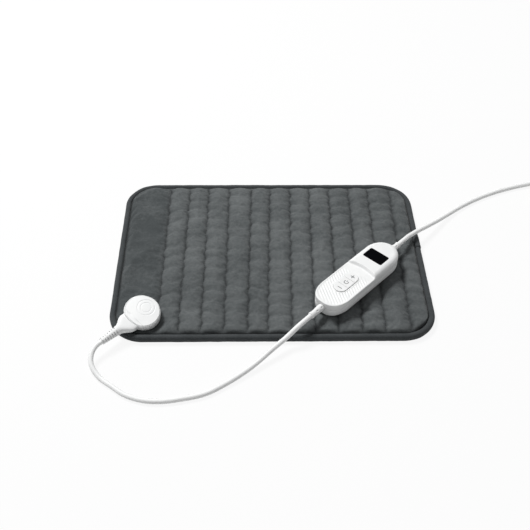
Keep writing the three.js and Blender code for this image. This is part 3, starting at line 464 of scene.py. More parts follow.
def smooth_route(points, step):
    """A centripetal Catmull-Rom curve through the points, resampled at an even step along it."""
    given = np.array(points, dtype=float)
    held = np.vstack([2.0 * given[:1] - given[1:2], given, 2.0 * given[-1:] - given[-2:-1]])
    before, here, there, after = held[:-3], held[1:-2], held[2:-1], held[3:]
    spans = np.sqrt(np.linalg.norm(np.diff(held, axis=0), axis=1))[:, None]
    span_before, span, span_after = spans[:-2], spans[1:-1], spans[2:]
    leave = (here - before) / span_before - (there - before) / (span_before + span) + (there - here) / span
    enter = (there - here) / span - (after - here) / (span + span_after) + (after - there) / span_after
    share = np.linspace(0.0, 1.0, 24, endpoint=False)[None, :, None]
    leave = (leave * span)[:, None, :]
    enter = (enter * span)[:, None, :]
    here = here[:, None, :]
    there = there[:, None, :]
    curve = (here + leave * share + (3.0 * (there - here) - 2.0 * leave - enter) * share**2
             + (2.0 * (here - there) + leave + enter) * share**3)
    curve = np.vstack([curve.reshape(-1, 3), given[-1:]])
    lengths = lengths_along(curve)
    stations = np.linspace(0.0, lengths[-1], int(round(lengths[-1] / step)) + 1)
    return places_at(stations, lengths, curve)


def tube_along(route, radius, sides):
    """Circles set square to the route, each with one side level."""
    ways = unit(np.gradient(route, axis=0))
    level = unit(np.cross(ways, np.array([0.0, 0.0, 1.0])))
    raised = np.cross(level, ways)
    turn = full_turn(sides)
    ring = level[:, None, :] * np.cos(turn)[None, :, None] + raised[:, None, :] * np.sin(turn)[None, :, None]
    return route[:, None, :] + radius * ring


def turned_points(places, radii, sides):
    """A profile of places along X and radii, turned round the X axis."""
    return about_x(np.array(places)[:, None], np.array(radii)[:, None], full_turn(sides))


def rounded_loop(half_width, half_depth, corner, count):
    """Evenly spaced points counter-clockwise on a rounded rectangle, from the middle of its right side, and
    how far along it each lies."""
    quarter = np.linspace(0.0, 0.5 * math.pi, 40)
    middles = [(1, 1, 0.0), (-1, 1, 0.5), (-1, -1, 1.0), (1, -1, 1.5)]
    arcs = [np.stack([side_x * (half_width - corner) + corner * np.cos(quarter + start * math.pi),
                      side_y * (half_depth - corner) + corner * np.sin(quarter + start * math.pi)], axis=1)
            for side_x, side_y, start in middles]
    outline = np.vstack([[[half_width, 0.0]], *arcs, [[half_width, 0.0]]])
    lengths = lengths_along(outline)
    stations = np.linspace(0.0, lengths[-1], count, endpoint=False)
    return places_at(stations, lengths, outline), stations


def out_of_rectangle(places, half_width, half_depth, corner):
    """The level way out of a rounded rectangle at places on its edge."""
    inner = np.array([half_width - corner, half_depth - corner])
    return unit(places - np.clip(places, -inner, inner))


# Camera at the photograph's angle
camera_place = np.array([-32.7, -804.6, 762.0])
camera_pitch = math.radians(43.82)
camera_yaw = math.radians(1.81)
camera_roll = math.radians(1.09)
camera_lens = 58.41


def add_camera():
    ahead = np.array([math.cos(camera_pitch) * math.sin(camera_yaw),
                      math.cos(camera_pitch) * math.cos(camera_yaw), -math.sin(camera_pitch)])
    level = np.array([math.cos(camera_yaw), -math.sin(camera_yaw), 0.0])
    above = np.cross(level, ahead)
    right = math.cos(camera_roll) * level + math.sin(camera_roll) * above
    up = math.cos(camera_roll) * above - math.sin(camera_roll) * level
    data = bpy.data.cameras.new("camera")
    data.lens = camera_lens
    data.sensor_width = 36.0
    made = linked_object("camera", data)
    turn = Matrix((right, up, -ahead)).transposed().to_4x4()
    made.matrix_world = Matrix.Translation(Vector(camera_place * mm)) @ turn
    bpy.context.scene.camera = made


add_camera()


# Finishes

def node(tree, kind, inputs=None, **settings):
    """A shader node with its settings, and its inputs linked or set."""
    made = tree.nodes.new(kind)
    for key, value in settings.items():
        setattr(made, key, value)
    for key, value in (inputs or {}).items():
        if isinstance(value, bpy.types.NodeSocket):
            tree.links.new(value, made.inputs[key])
        else:
            made.inputs[key].default_value = value
    return made


def maths(tree, operation, *values):
    """The result of one operation on numbers and masks."""
    return node(tree, "ShaderNodeMath", dict(enumerate(values)), operation=operation).outputs[0]


def new_group(name, inputs, outputs):
    """An empty node group with numbers or a vector going in and named numbers coming out."""
    group = bpy.data.node_groups.new(name, "ShaderNodeTree")
    for key, value in inputs.items():
        kind = "NodeSocketVector" if value is None else "NodeSocketFloat"
        socket = group.interface.new_socket(name=key, in_out="INPUT", socket_type=kind)
        if value is not None:
            socket.default_value = value
    for key in outputs:
        group.interface.new_socket(name=key, in_out="OUTPUT", socket_type="NodeSocketFloat")
    return group, group.nodes.new("NodeGroupInput"), group.nodes.new("NodeGroupOutput")


def grain_group():
    """Noise in the object's own space, spread from 0 to 1 between a low and a high level."""
    inputs = {"Scale": 100.0, "Detail": 2.0, "Stretch": 1.0, "Low": 0.3, "High": 0.7}
    group, given, result = new_group("grain", inputs, ["Mask"])
    place = node(group, "ShaderNodeTexCoord")
    stretch = node(group, "ShaderNodeCombineXYZ", {"X": given.outputs["Stretch"], "Y": 1.0, "Z": 1.0})
    drawn = node(group, "ShaderNodeVectorMath", {0: place.outputs["Object"], 1: stretch.outputs[0]},
                 operation="MULTIPLY")
    noise = node(group, "ShaderNodeTexNoise", {"Vector": drawn.outputs[0], "Scale": given.outputs["Scale"],
                                               "Detail": given.outputs["Detail"]})
    spread = node(group, "ShaderNodeMapRange", {"Value": noise.outputs[0], "From Min": given.outputs["Low"],
                                                "From Max": given.outputs["High"]})
    group.links.new(spread.outputs[0], result.inputs["Mask"])
    return group


def weave_group():
    """Two sets of thread lines across each other, from a place in metres and a thread pitch."""
    group, given, result = new_group("weave", {"Vector": None, "Pitch": 0.001, "Lean": 0.0}, ["Threads"])
    split = node(group, "ShaderNodeSeparateXYZ", {"Vector": given.outputs["Vector"]})
    turns = maths(group, "DIVIDE", 2.0 * math.pi, given.outputs["Pitch"])
    leaned = maths(group, "MULTIPLY_ADD", split.outputs["Y"], given.outputs["Lean"], split.outputs["X"])
    one_wave = maths(group, "SINE", maths(group, "MULTIPLY", leaned, turns))
    other_wave = maths(group, "SINE", maths(group, "MULTIPLY", split.outputs["Y"], turns))
    crossed = maths(group, "MULTIPLY_ADD", other_wave, 0.35, one_wave)
    spread = node(group, "ShaderNodeMapRange", {"Value": crossed, "From Min": -1.35, "From Max": 1.35})
    group.links.new(spread.outputs[0], result.inputs["Threads"])
    return group


grain = grain_group()
weave = weave_group()


def grain_mask(tree, scale, low=0.3, high=0.7, detail=2.0, stretch=1.0):
    inputs = {"Scale": scale, "Detail": detail, "Stretch": stretch, "Low": low, "High": high}
    return node(tree, "ShaderNodeGroup", inputs, node_tree=grain).outputs["Mask"]


def weave_mask(tree, place, pitch, lean=0.0):
    inputs = {"Vector": place, "Pitch": pitch, "Lean": lean}
    return node(tree, "ShaderNodeGroup", inputs, node_tree=weave).outputs["Threads"]


def weighed(tree, *parts):
    """The sum of masks, each times its weight."""
    total = 0.0
    for mask, weight in parts:
        total = maths(tree, "MULTIPLY_ADD", mask, weight, total)
    return total


def mixed(tree, mask, low, high):
    """A colour from low to high by a mask."""
    made = node(tree, "ShaderNodeMix", data_type="RGBA", clamp_factor=True)
    for socket, value in ((made.inputs[0], mask), (made.inputs[6], low), (made.inputs[7], high)):
        if isinstance(value, bpy.types.NodeSocket):
            tree.links.new(value, socket)
        elif isinstance(value, tuple):
            socket.default_value = (*value, 1.0)
        else:
            socket.default_value = value
    return made.outputs[2]


def between(tree, mask, low, high):
    """A number from low to high by a mask."""
    return node(tree, "ShaderNodeMapRange", {"Value": mask, "To Min": low, "To Max": high}).outputs[0]


def bumped(tree, height, strength, distance):
    inputs = {"Height": height, "Strength": strength, "Distance": distance}
    return node(tree, "ShaderNodeBump", inputs).outputs[0]


def attribute(tree, name, output="Fac"):
    return node(tree, "ShaderNodeAttribute", attribute_name=name).outputs[output]


def new_finish(name, **constants):
    """A material with one Principled shader whose even values are set on its own sockets."""
    material = bpy.data.materials.new(name)
    material.use_nodes = True
    tree = material.node_tree
    shader = tree.nodes["Principled BSDF"]
    for key, value in constants.items():
        shader.inputs[key.replace("_", " ")].default_value = value
    return material, tree, shader


def link_inputs(tree, shader, **sources):
    """Links what varies to the shader's sockets."""
    for key, source in sources.items():
        tree.links.new(source, shader.inputs[key.replace("_", " ")])


def plush_finish(name, dark, light, seam_shade_colour):
    """Short brushed pile: broad brush marks, clumps and fibres, darker where its nap lies away, and with
    painted shade along its seams, gathers, edge groove and tucked sides."""
    material, tree, shader = new_finish(name, Roughness=0.95, Sheen_Weight=0.12, Sheen_Roughness=0.5,
                                        Specular_IOR_Level=0.1)
    marks = grain_mask(tree, 26.0, 0.32, 0.68, 3.0)
    clumps = grain_mask(tree, 240.0, 0.28, 0.72, 3.0)
    fibres = grain_mask(tree, 1300.0, 0.25, 0.75, 2.0, 0.6)
    tone = weighed(tree, (marks, 0.4), (clumps, 0.35), (fibres, 0.25), (attribute(tree, "nap"), -0.48))
    colour = mixed(tree, tone, dark, light)
    # Painted shade: a per-point value mixes in a near-black colour at the seams, gathers, edge groove and
    # tucked sides
    seam_shade = maths(tree, "MULTIPLY", attribute(tree, "seam_shade"), 0.95)
    height = weighed(tree, (clumps, 0.55), (fibres, 0.45))
    link_inputs(tree, shader, Base_Color=mixed(tree, seam_shade, colour, seam_shade_colour),
                Normal=bumped(tree, height, 0.6, 0.0009))
    return material


def binding_finish():
    """Folded twill tape: fine slanting lines along the tape, with fibres over them."""
    material, tree, shader = new_finish("binding_tape", Roughness=0.9, Sheen_Weight=0.08,
                                        Specular_IOR_Level=0.15)
    lines = weave_mask(tree, attribute(tree, "tape", "Vector"), 0.0016, 0.9)
    marks = grain_mask(tree, 60.0, 0.3, 0.7, 3.0)
    fibres = grain_mask(tree, 1500.0)
    tone = weighed(tree, (lines, 0.45), (marks, 0.3), (fibres, 0.25))
    height = weighed(tree, (lines, 0.6), (fibres, 0.4))
    link_inputs(tree, shader, Base_Color=mixed(tree, tone, (0.029, 0.033, 0.035), (0.073, 0.079, 0.082)),
                Normal=bumped(tree, height, 0.5, 0.0005))
    return material


def moulded_finish(name, low, high, rough_low, rough_high, texture=0.08, scale=1500.0):
    """Moulded plastic or rubber: a fine spark-worn texture, and a faint unevenness of tone and gloss."""
    material, tree, shader = new_finish(name, Specular_IOR_Level=0.35)
    marks = grain_mask(tree, 38.0, 0.35, 0.65, 3.0)
    texture_mask = grain_mask(tree, scale, 0.25, 0.75)
    tone = weighed(tree, (marks, 0.7), (texture_mask, 0.3))
    link_inputs(tree, shader, Base_Color=mixed(tree, tone, low, high),
                Roughness=between(tree, tone, rough_low, rough_high),
                Normal=bumped(tree, texture_mask, texture, 0.0002))
    return material


def window_finish():
    """Dark smoked window with faint smears in its gloss."""
    material, tree, shader = new_finish("window_black", Specular_IOR_Level=0.015)
    marks = grain_mask(tree, 120.0, 0.3, 0.7, 3.0)
    colour = mixed(tree, marks, (0.0006, 0.0009, 0.0014), (0.0012, 0.0016, 0.0024))
    link_inputs(tree, shader, Base_Color=colour, Roughness=between(tree, marks, 0.06, 0.12))
    return material


def metal_finish(name, low, high):
    """Drawn metal: fine lines along X in tone and gloss."""
    material, tree, shader = new_finish(name, Metallic=1.0)
    lines = grain_mask(tree, 900.0, 0.25, 0.75, 2.0, 0.08)
    link_inputs(tree, shader, Base_Color=mixed(tree, lines, low, high),
                Roughness=between(tree, lines, 0.26, 0.4), Normal=bumped(tree, lines, 0.08, 0.0002))
    return material


def cloth_finish():
    """Plain woven inner cloth, cream, with its threads in tone and relief."""
    material, tree, shader = new_finish("inner_cloth_weave", Roughness=0.9, Sheen_Weight=0.1)
    place = node(tree, "ShaderNodeTexCoord").outputs["Object"]
    threads = weave_mask(tree, place, 0.0012)
    marks = grain_mask(tree, 80.0)
    tone = weighed(tree, (threads, 0.6), (marks, 0.4))
    link_inputs(tree, shader, Base_Color=mixed(tree, tone, (0.48, 0.46, 0.41), (0.72, 0.70, 0.64)),
                Normal=bumped(tree, threads, 0.4, 0.0004))
    return material


# The last colour of each plush is its painted shade along the seams and edges
plush = plush_finish("plush_grey", (0.058, 0.065, 0.067), (0.145, 0.155, 0.157), (0.014, 0.016, 0.017))
back_plush = plush_finish("plush_back", (0.05, 0.055, 0.057), (0.1, 0.107, 0.109), (0.022, 0.025, 0.027))
binding = binding_finish()
thread = moulded_finish("sewing_thread", (0.02, 0.022, 0.024), (0.05, 0.054, 0.056), 0.7, 0.9, 0.4, 2500.0)
white_shell = moulded_finish("white_moulded_shell", (0.80, 0.81, 0.81), (0.87, 0.875, 0.87), 0.38, 0.48)
white_rubber = moulded_finish("white_soft_rubber", (0.8, 0.805, 0.805), (0.86, 0.865, 0.86), 0.5, 0.6, 0.12)
white_lead = moulded_finish("white_lead_sheath", (0.83, 0.835, 0.835), (0.89, 0.895, 0.89), 0.42, 0.54, 0.06)
print_grey = moulded_finish("grey_print", (0.16, 0.165, 0.17), (0.24, 0.245, 0.25), 0.5, 0.6)
tie_dark = moulded_finish("dark_tie_strap", (0.02, 0.021, 0.023), (0.05, 0.052, 0.055), 0.6, 0.8, 0.5, 900.0)
dark_plastic = moulded_finish("dark_moulded_part", (0.018, 0.019, 0.021), (0.034, 0.036, 0.04), 0.45, 0.6)
board_green = moulded_finish("green_board", (0.012, 0.11, 0.04), (0.03, 0.2, 0.075), 0.35, 0.5, 0.3, 420.0)
wire_red = moulded_finish("red_wire_sheath", (0.36, 0.045, 0.025), (0.5, 0.075, 0.04), 0.5, 0.62)
capacitor_tan = moulded_finish("tan_capacitor_case", (0.5, 0.3, 0.09), (0.62, 0.4, 0.14), 0.4, 0.5)
black_window = window_finish()
steel = metal_finish("drawn_steel", (0.46, 0.47, 0.48), (0.62, 0.63, 0.64))
contact_gold = metal_finish("contact_plating", (0.5, 0.34, 0.1), (0.7, 0.5, 0.18))
inner_cloth = cloth_finish()


# Cords

def straight_end(place, way):
    """A lead's end: one diameter of straight run, from inside the piece that it leaves."""
    return [place - lead_overlap * way, place, place + 2.0 * lead_radius * way]


def add_pad_lead():
    plug_end_x = mouth_at + plug_length + relief_length + 3.0 * seat_gap
    plug_end = in_socket(np.array([plug_end_x, 0.0, contact_height]))
    sleeve_x = -(controller_half_length + near_sleeve_length + seat_gap)
    sleeve_end = in_controller(np.array([sleeve_x, 0.0, parting_height]))
    points = [*straight_end(plug_end, socket_axes[0]), *pad_lead_points,
              *straight_end(sleeve_end, -controller_axes[0])[::-1]]
    route = smooth_route(points, lead_step)
    made = add_piece("pad_lead_cord", skin_of(tube_along(route, lead_radius, 20), capped=True), white_lead,
                     body=None, stands_for=["pad_lead"])
    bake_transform(made)


def coil_stations():
    """Turns that wind inwards along the table, climb one layer and wind out again above it."""
    turns = coil_whole_turns + coil_entry / (2.0 * math.pi)
    turned_by = np.linspace(0.0, turns, int(round(turns * coil_loop_steps)) + 1)
    from_middle = turned_by - turns / 2.0
    radius = coil_outer_radius - coil_pitch * (turns / 2.0 - np.abs(from_middle))
    height = coil_low + coil_pitch * smooth(2.0 * from_middle + 0.5)
    angle = coil_entry - 2.0 * math.pi * turned_by
    return points_of(coil_middle[0] + radius * np.cos(angle), coil_middle[1] + radius * np.sin(angle), height)


def level_way(start, end):
    return unit((end - start) * np.array([1.0, 1.0, 0.0]))


wound = coil_stations()
coil_in = level_way(wound[1], wound[0])
coil_out = level_way(wound[-2], wound[-1])
coil_mouth = wound[0] + 2.0 * lead_radius * coil_in
tail_start = wound[-1] + (2.0 * lead_radius + seat_gap) * coil_out
tail_end = tail_start + tail_length * coil_out
tail_end[2] = mains_plug_height
mains_plug_axes = turned_axes(math.atan2(coil_out[1], coil_out[0]))
mains_plug_origin = tail_end + seat_gap * coil_out


def in_mains_plug(points):
    return points @ mains_plug_axes + mains_plug_origin


def tie_skin():
    """A flat strap in a rounded loop round the bundle, as long as the turns that pass through it."""
    offsets = (wound[:, :2] - coil_middle) @ turned_axes(tie_turn)[:2, :2].T
    passing = offsets[(offsets[:, 0] > 0.0) & (np.abs(offsets[:, 1]) < tie_width)]
    inner = passing[:, 0].min()
    outer = np.linalg.norm(passing, axis=1).max()
    half_length = (outer - inner) / 2.0 + lead_radius + tie_gap + tie_thickness / 2.0
    half_height = coil_pitch / 2.0 + lead_radius + tie_gap + tie_thickness / 2.0
    corner = 2.6
    loop, _ = rounded_loop(half_length, half_height, corner, 160)
    outward = out_of_rectangle(loop, half_length, half_height, corner)
    turn = full_turn(16)
    across = tie_width / 2.0 * signed_power(np.cos(turn), 0.3)
    thick = tie_thickness / 2.0 * signed_power(np.sin(turn), 0.6)
    radial = loop[:, None, :] + outward[:, None, :] * thick[None, :, None]
    local = points_of((outer + inner) / 2.0 + radial[..., 0], across[None, :],
                      half_height + tie_thickness / 2.0 + radial[..., 1])
    strap = local @ turned_axes(tie_turn) + np.array([*coil_middle, 0.0])
    return skin_of(np.concatenate([strap, strap[:1]]))


def mains_plug_skin():
    """A superellipse section that flares from the lead to the pins, with rounded ends."""
    share = np.concatenate([[0.0, 0.0, 0.012, 0.035], np.linspace(0.07, 0.93, 22), [0.965, 0.988, 1.0, 1.0]])
    end = np.concatenate([[0.0, 0.86, 0.945, 0.985], np.ones(22), [0.985, 0.945, 0.87, 0.0]])
    half_width = (mains_plug_root_half + (mains_plug_half_width - mains_plug_root_half) * smooth(share)) * end
    half_height = mains_plug_half_height * end * (1.0 - 0.06 * np.sin(math.pi * share))
    x = mains_relief_length + seat_gap + mains_plug_length * share
    return skin_of(in_mains_plug(squared_rings(x, half_width, half_height, 0.5, 48)))


def ribbed_skin(start, length, ribs, first_radius, last_radius, depth, spine):
    """A tapered sleeve along X with slots between its ribs. The slots are cut from both sides and leave a
    spine along the top and the bottom, about as wide as the given share of the sleeve."""
    share = np.linspace(0.0, 1.0, ribs * 16 + 1)
    turn = full_turn(48)
    slot = smooth((0.2 - np.abs((share * ribs) % 1.0 - 0.72)) / 0.08)
    slot = slot * smooth((1.0 - share) * ribs / 0.2)
    side = smooth((np.abs(np.cos(turn)) - spine) / 0.25)
    taper = first_radius + (last_radius - first_radius) * share
    radius = taper[:, None] - depth * slot[:, None] * side[None, :]
    ring = about_x((start + length * share)[:, None], radius, turn)
    first = ring[:1] * np.array([1.0, 0.0, 0.0])
    last = ring[-1:] * np.array([1.0, 0.0, 0.0])
    return np.concatenate([first, ring, last])


def add_mains_end():
    """The tie, and the plug with its relief and pins, that go with the mains lead."""
    tie = add_piece("coil_tie_strap", tie_skin(), tie_dark, stands_for=["coil_tie"])
    relief = ribbed_skin(0.0, mains_relief_length, 8, 3.6, 5.4, 0.9, 0.3)
    relief = add_piece("mains_plug_ribs", skin_of(in_mains_plug(relief)), white_rubber,
                       stands_for=["mains_plug_relief"])
    body = add_piece("mains_plug_moulding", mains_plug_skin(), white_shell,
                     stands_for=["mains_plug_body"])
    pin_start = mains_relief_length + seat_gap + mains_plug_length - mains_pin_root
    pin_end = pin_start + mains_pin_root + mains_pin_length
    places = [pin_start, pin_start, pin_end - 2.0, pin_end - 1.2, pin_end - 0.5, pin_end - 0.1, pin_end]
    radii = mains_pin_radius * np.array([0.0, 1.0, 1.0, 0.91, 0.7, 0.35, 0.0])
    pins = []
    for number, side in ((1, 1.0), (2, -1.0)):
        points = turned_points(places, radii, 32) + np.array([0.0, side * mains_pin_offset, 0.0])
        pins.append(add_piece(f"mains_pin_{number}", skin_of(in_mains_plug(points)), steel,
                              stands_for=[f"mains_plug_pin_{number}"]))
    return [tie, relief, body, *pins]


def add_mains_lead():
    along = controller_axes[0]
    sleeve_x = controller_half_length + far_sleeve_length + seat_gap
    sleeve_end = in_controller(np.array([sleeve_x, 0.0, parting_height]))
    into_coil = coil_mouth + 2.0 * lead_radius * coil_in
    tail = [tail_start, tail_start + 2.0 * lead_radius * coil_out, tail_end - 2.0 * lead_radius * coil_out,
            tail_end, tail_end + lead_overlap * coil_out]
    points = [*straight_end(sleeve_end, along), *mains_lead_points, into_coil, coil_mouth, *wound, *tail]
    route = smooth_route(points, lead_step)
    made = add_piece("mains_lead_cord", skin_of(tube_along(route, lead_radius, 16), capped=True), white_lead,
                     stands_for=["mains_lead", "mains_coil", "mains_tail"])
    add_mains_end()


add_pad_lead()
add_mains_lead()


# Quilted pad

def half_depth_at(x):
    """Half the quilt's depth at a place along its width, less in the rounded corners."""
    into_corner = np.maximum(np.abs(x) - (cover_half_width - cover_corner), 0.0)
    return cover_half_depth - cover_corner + np.sqrt(np.maximum(cover_corner**2 - into_corner**2, 0.0))


def socket_hold(x, y, core):
    """How far the socket and the plug press the plush, 1 under them and fading to 0 round them, and how far
    a place is past the socket's mouth, from 0 to 1."""
    along = (x - socket_origin[0]) * math.cos(plug_heading) + (y - socket_origin[1]) * math.sin(plug_heading)
    aside = (y - socket_origin[1]) * math.cos(plug_heading) - (x - socket_origin[0]) * math.sin(plug_heading)
    reach = np.maximum(along - plug_length - mouth_at, np.minimum(along, 0.0))
    hold = 1.0 - smooth((np.hypot(reach, aside) - core) / press_fade)
    return hold, smooth((along - mouth_at) / plug_tail_radius)


def pressed(x, y, height):
    """The quilt's height where it lies against the leaning socket and the plug."""
    plane = crown_height - socket_up[0] * (x - socket_origin[0]) - socket_up[1] * (y - socket_origin[1])
    lifted, past_mouth = socket_hold(x, y, lift_core)
    lowered, _ = socket_hold(x, y, press_core)
    bed = plane - seat_gap - 1.5 * past_mouth
    hold = np.where(bed > height, lifted, lowered)
    return np.maximum(height + (bed - height) * hold, cover_underside + 0.9)


crease_chance = np.random.default_rng(23)
crease_pitch = crease_chance.uniform(18.0, 24.0, 13)
crease_start = crease_chance.uniform(0.0, 1.0, 13)
crease_slant = crease_chance.uniform(-0.25, 0.25, 13)


def crease_phase(channel, aside, y):
    """Counts the creases of a channel along its length: one lies at each whole number."""
    shifted = y + crease_slant[channel] * aside
    return shifted / crease_pitch[channel] + crease_start[channel] + 0.16 * wander(y, 90.0, 3)


def quilt_columns():
    """The quilt's grid seen from above. Columns are laid between the sewn lines, which lean and wander a
    little, and bulge to the left between the creases of the channel beside them. Columns lie closer at the
    pad's sides, and rows at its ends. Gives each column's channel and share of the way across it, the width
    of the channel, the places, and which columns are sewn lines."""
    steps = [panel_columns] + [channel_columns] * (len(seam_front) - 1) + [last_columns]
    last = len(steps) - 1
    channel = np.append(np.repeat(np.arange(len(steps)), steps), last)
    share = np.concatenate([np.arange(count) / count for count in steps] + [[1.0]])
    share = np.where(channel == 0, share**1.5, share)
    share = np.where(channel == last, 1.0 - (1.0 - share) ** 1.5, share)[:, None]
    even = np.linspace(0.0, 1.0, quilt_rows + 1)
    depth = 0.75 * even + 0.25 * (0.5 - 0.5 * np.cos(math.pi * even))
    seams = seam_front[:, None] + (seam_back - seam_front)[:, None] * depth[None, :]
    middle = (depth - 0.5) * 2.0 * cover_half_depth
    bulges = [np.abs(np.sin(math.pi * crease_phase(line + 1, -12.0, middle))) for line in range(len(seams))]
    seams = seams + np.array([wander(middle, 47.0, 40 + line) for line in range(len(seams))]) * seam_wander
    seams = seams + 0.9 - seam_bulge * np.array(bulges)
    edge = np.full((1, len(depth)), cover_half_width)
    bounds = np.vstack([-edge, seams, edge])
    left = bounds[channel]
    width = bounds[channel + 1] - left
    x = left + width * share
    y = (2.0 * depth[None, :] - 1.0) * half_depth_at(x)
    return channel[:, None], share, width, x, y, np.cumsum(steps)[:-1]


def quilt_sheet():
    """The quilt's top as a grid of points, with how much painted shade each point gets and how far its nap
    lies away.
    A channel's height is a quarter round from each sewn line, lowered by creases across the channel at
    uneven distances, by short gathers along the seams and by the rounded ends of the channels."""
    channel, share, width, x, y, seam_columns = quilt_columns()
    half = half_depth_at(x)
    to_left = width * share
    to_right = width * (1.0 - share)
    to_seam = np.minimum(to_left, to_right)
    at_edge = np.where(to_left < to_right, channel == 0, channel == channel[-1])
    inside = np.where(at_edge, 0.0, 1.0)
    low = np.where(at_edge, edge_height, stitch_height)
    plain = channel == 0
    across = np.minimum(pillow(to_left, np.minimum(0.4 * width, panel_round)),
                        pillow(to_right, np.minimum(0.6 * width, panel_round)))
    crease = channel_creases(channel, share, width, y)
    gather_turn = 2.0 * math.pi * y / gather_pitch + 2.0 * wander(y, 31.0, 5) + 1.9 * channel
    gathers = (0.5 + 0.5 * np.sin(gather_turn)) * np.exp(-to_seam / 3.5) * inside
    rise = (crown_height - low) * across * (1.0 - np.where(plain, 0.0, crease))
    rise = rise + 0.45 * mottle(x, y, 34.0, 11) * across - gather_depth * gathers * pillow(to_seam, 4.0)
    scallop = np.where(y > 0.0, back_scallop, front_scallop) * (1.0 - pillow(to_seam, width / 2.0)) * inside
    end = pillow(half - np.abs(y) - scallop, np.where(y > 0.0, end_round, front_end_round))
    free = edge_height + (low + rise - edge_height) * end
    to_rim = np.minimum(half - np.abs(y), np.where(at_edge, to_seam, half))
    rim = bell(to_rim, rim_width)
    height = pressed(x, y, free) - rim_depth * rim
    # Painted shade along the sewn lines, the edge groove and the gathers, patchy along each line
    patches = np.clip(0.82 + 0.45 * mottle(x, y, 10.0, 17), 0.25, 1.0)
    seam_shade = patches * bell(to_seam, seam_shade_width) * inside
    seam_shade = np.maximum(np.maximum(seam_shade, rim), 0.5 * gathers)
    nap = np.where(plain, smooth(to_right / 5.0), 0.0)
    return points_of(x, y, height), seam_shade, nap, seam_columns


def channel_creases(channel, share, width, y):
    """Creases across each channel, 18 to 24 mm apart, deepest beside its left seam and each of its own
    strength."""
    phase = crease_phase(channel, width * (share - 0.5), y)
    number = np.round(phase)
    away = np.abs(phase - number) * crease_pitch[channel]
    strength = 0.62 + 0.38 * np.sin(number * 12.9 + channel * 78.2)
    beside_seam = np.abs(2.0 * share - 1.0) * np.where(share < 0.5, 1.3, 0.8)
    return strength * (0.26 + 0.34 * beside_seam) * bell(away, crease_width)


def settled(points, held):
    """The sheet puffed up by pressure as cloth that is sewn down where it is held, with a limit to how
    far each point moves."""
    rows, columns = points.shape[:2]
    mesh = bpy.data.meshes.new("settling")
    mesh.from_pydata((points.reshape(-1, 3) * mm).tolist(), [], grid_quads(rows, columns))
    sheet = linked_object("settling", mesh)
    sewn_down = sheet.vertex_groups.new(name="sewn_down")
    sewn_down.add(np.flatnonzero(held.ravel()).tolist(), 1.0, "REPLACE")
    cloth = sheet.modifiers.new("cloth", "CLOTH")
    cloth.settings.quality = 6
    cloth.settings.mass = 0.12
    cloth.settings.tension_stiffness = 12.0
    cloth.settings.compression_stiffness = 12.0
    cloth.settings.shear_stiffness = 4.0
    cloth.settings.bending_stiffness = 4.0
    cloth.settings.shrink_min = -0.015
    cloth.settings.vertex_group_mass = "sewn_down"
    cloth.settings.use_pressure = True
    cloth.settings.uniform_pressure_force = 4.0
    cloth.settings.effector_weights.gravity = 0.0
    cloth.collision_settings.use_collision = False
    cloth.point_cache.frame_start = 1
    cloth.point_cache.frame_end = settle_frames
    scene = bpy.context.scene
    for moment in range(1, settle_frames + 1):
        scene.frame_set(moment)
    evaluated = sheet.evaluated_get(bpy.context.evaluated_depsgraph_get()).to_mesh()
    moved = np.empty(len(evaluated.vertices) * 3, dtype=np.float32)
    evaluated.vertices.foreach_get("co", moved)
    shift = moved.reshape(points.shape).astype(float) / mm - points
    scene.frame_set(1)
    bpy.data.objects.remove(sheet)
    length = np.linalg.norm(shift, axis=-1, keepdims=True)
    return points + shift * np.minimum(1.0, settle_most / np.maximum(length, 1e-9))


def under_controller(x, y):
    """The most that the plush may rise: the controller's underside, and free a little way round it."""
    local = (points_of(x, y, 0.0) - controller_origin) @ controller_axes.T
    core = np.array([controller_half_length, controller_half_width]) - under_margin
    away = np.linalg.norm(np.maximum(np.abs(local[..., :2]) - core, 0.0), axis=-1)
    return crown_height + 0.1 + under_slope * np.maximum(away - 4.0, 0.0)


def finer(grid):
    """One round of cubic subdivision along both ways of a grid, with its edges kept."""
    for axis in (0, 1):
        given = np.moveaxis(grid, axis, 0)
        refined = np.empty((2 * len(given) - 1, *given.shape[1:]))
        refined[::2] = given
        refined[2:-1:2] = (given[:-2] + 6.0 * given[1:-1] + given[2:]) / 8.0
        refined[1::2] = (given[:-1] + given[1:]) / 2.0
        grid = np.moveaxis(refined, 0, axis)
    return grid


def edge_loop(grid):
    """The points round a grid's edge: front, right, back and left."""
    return np.concatenate([grid[:-1, 0], grid[-1, :-1], grid[:0:-1, -1], grid[0, :0:-1]])


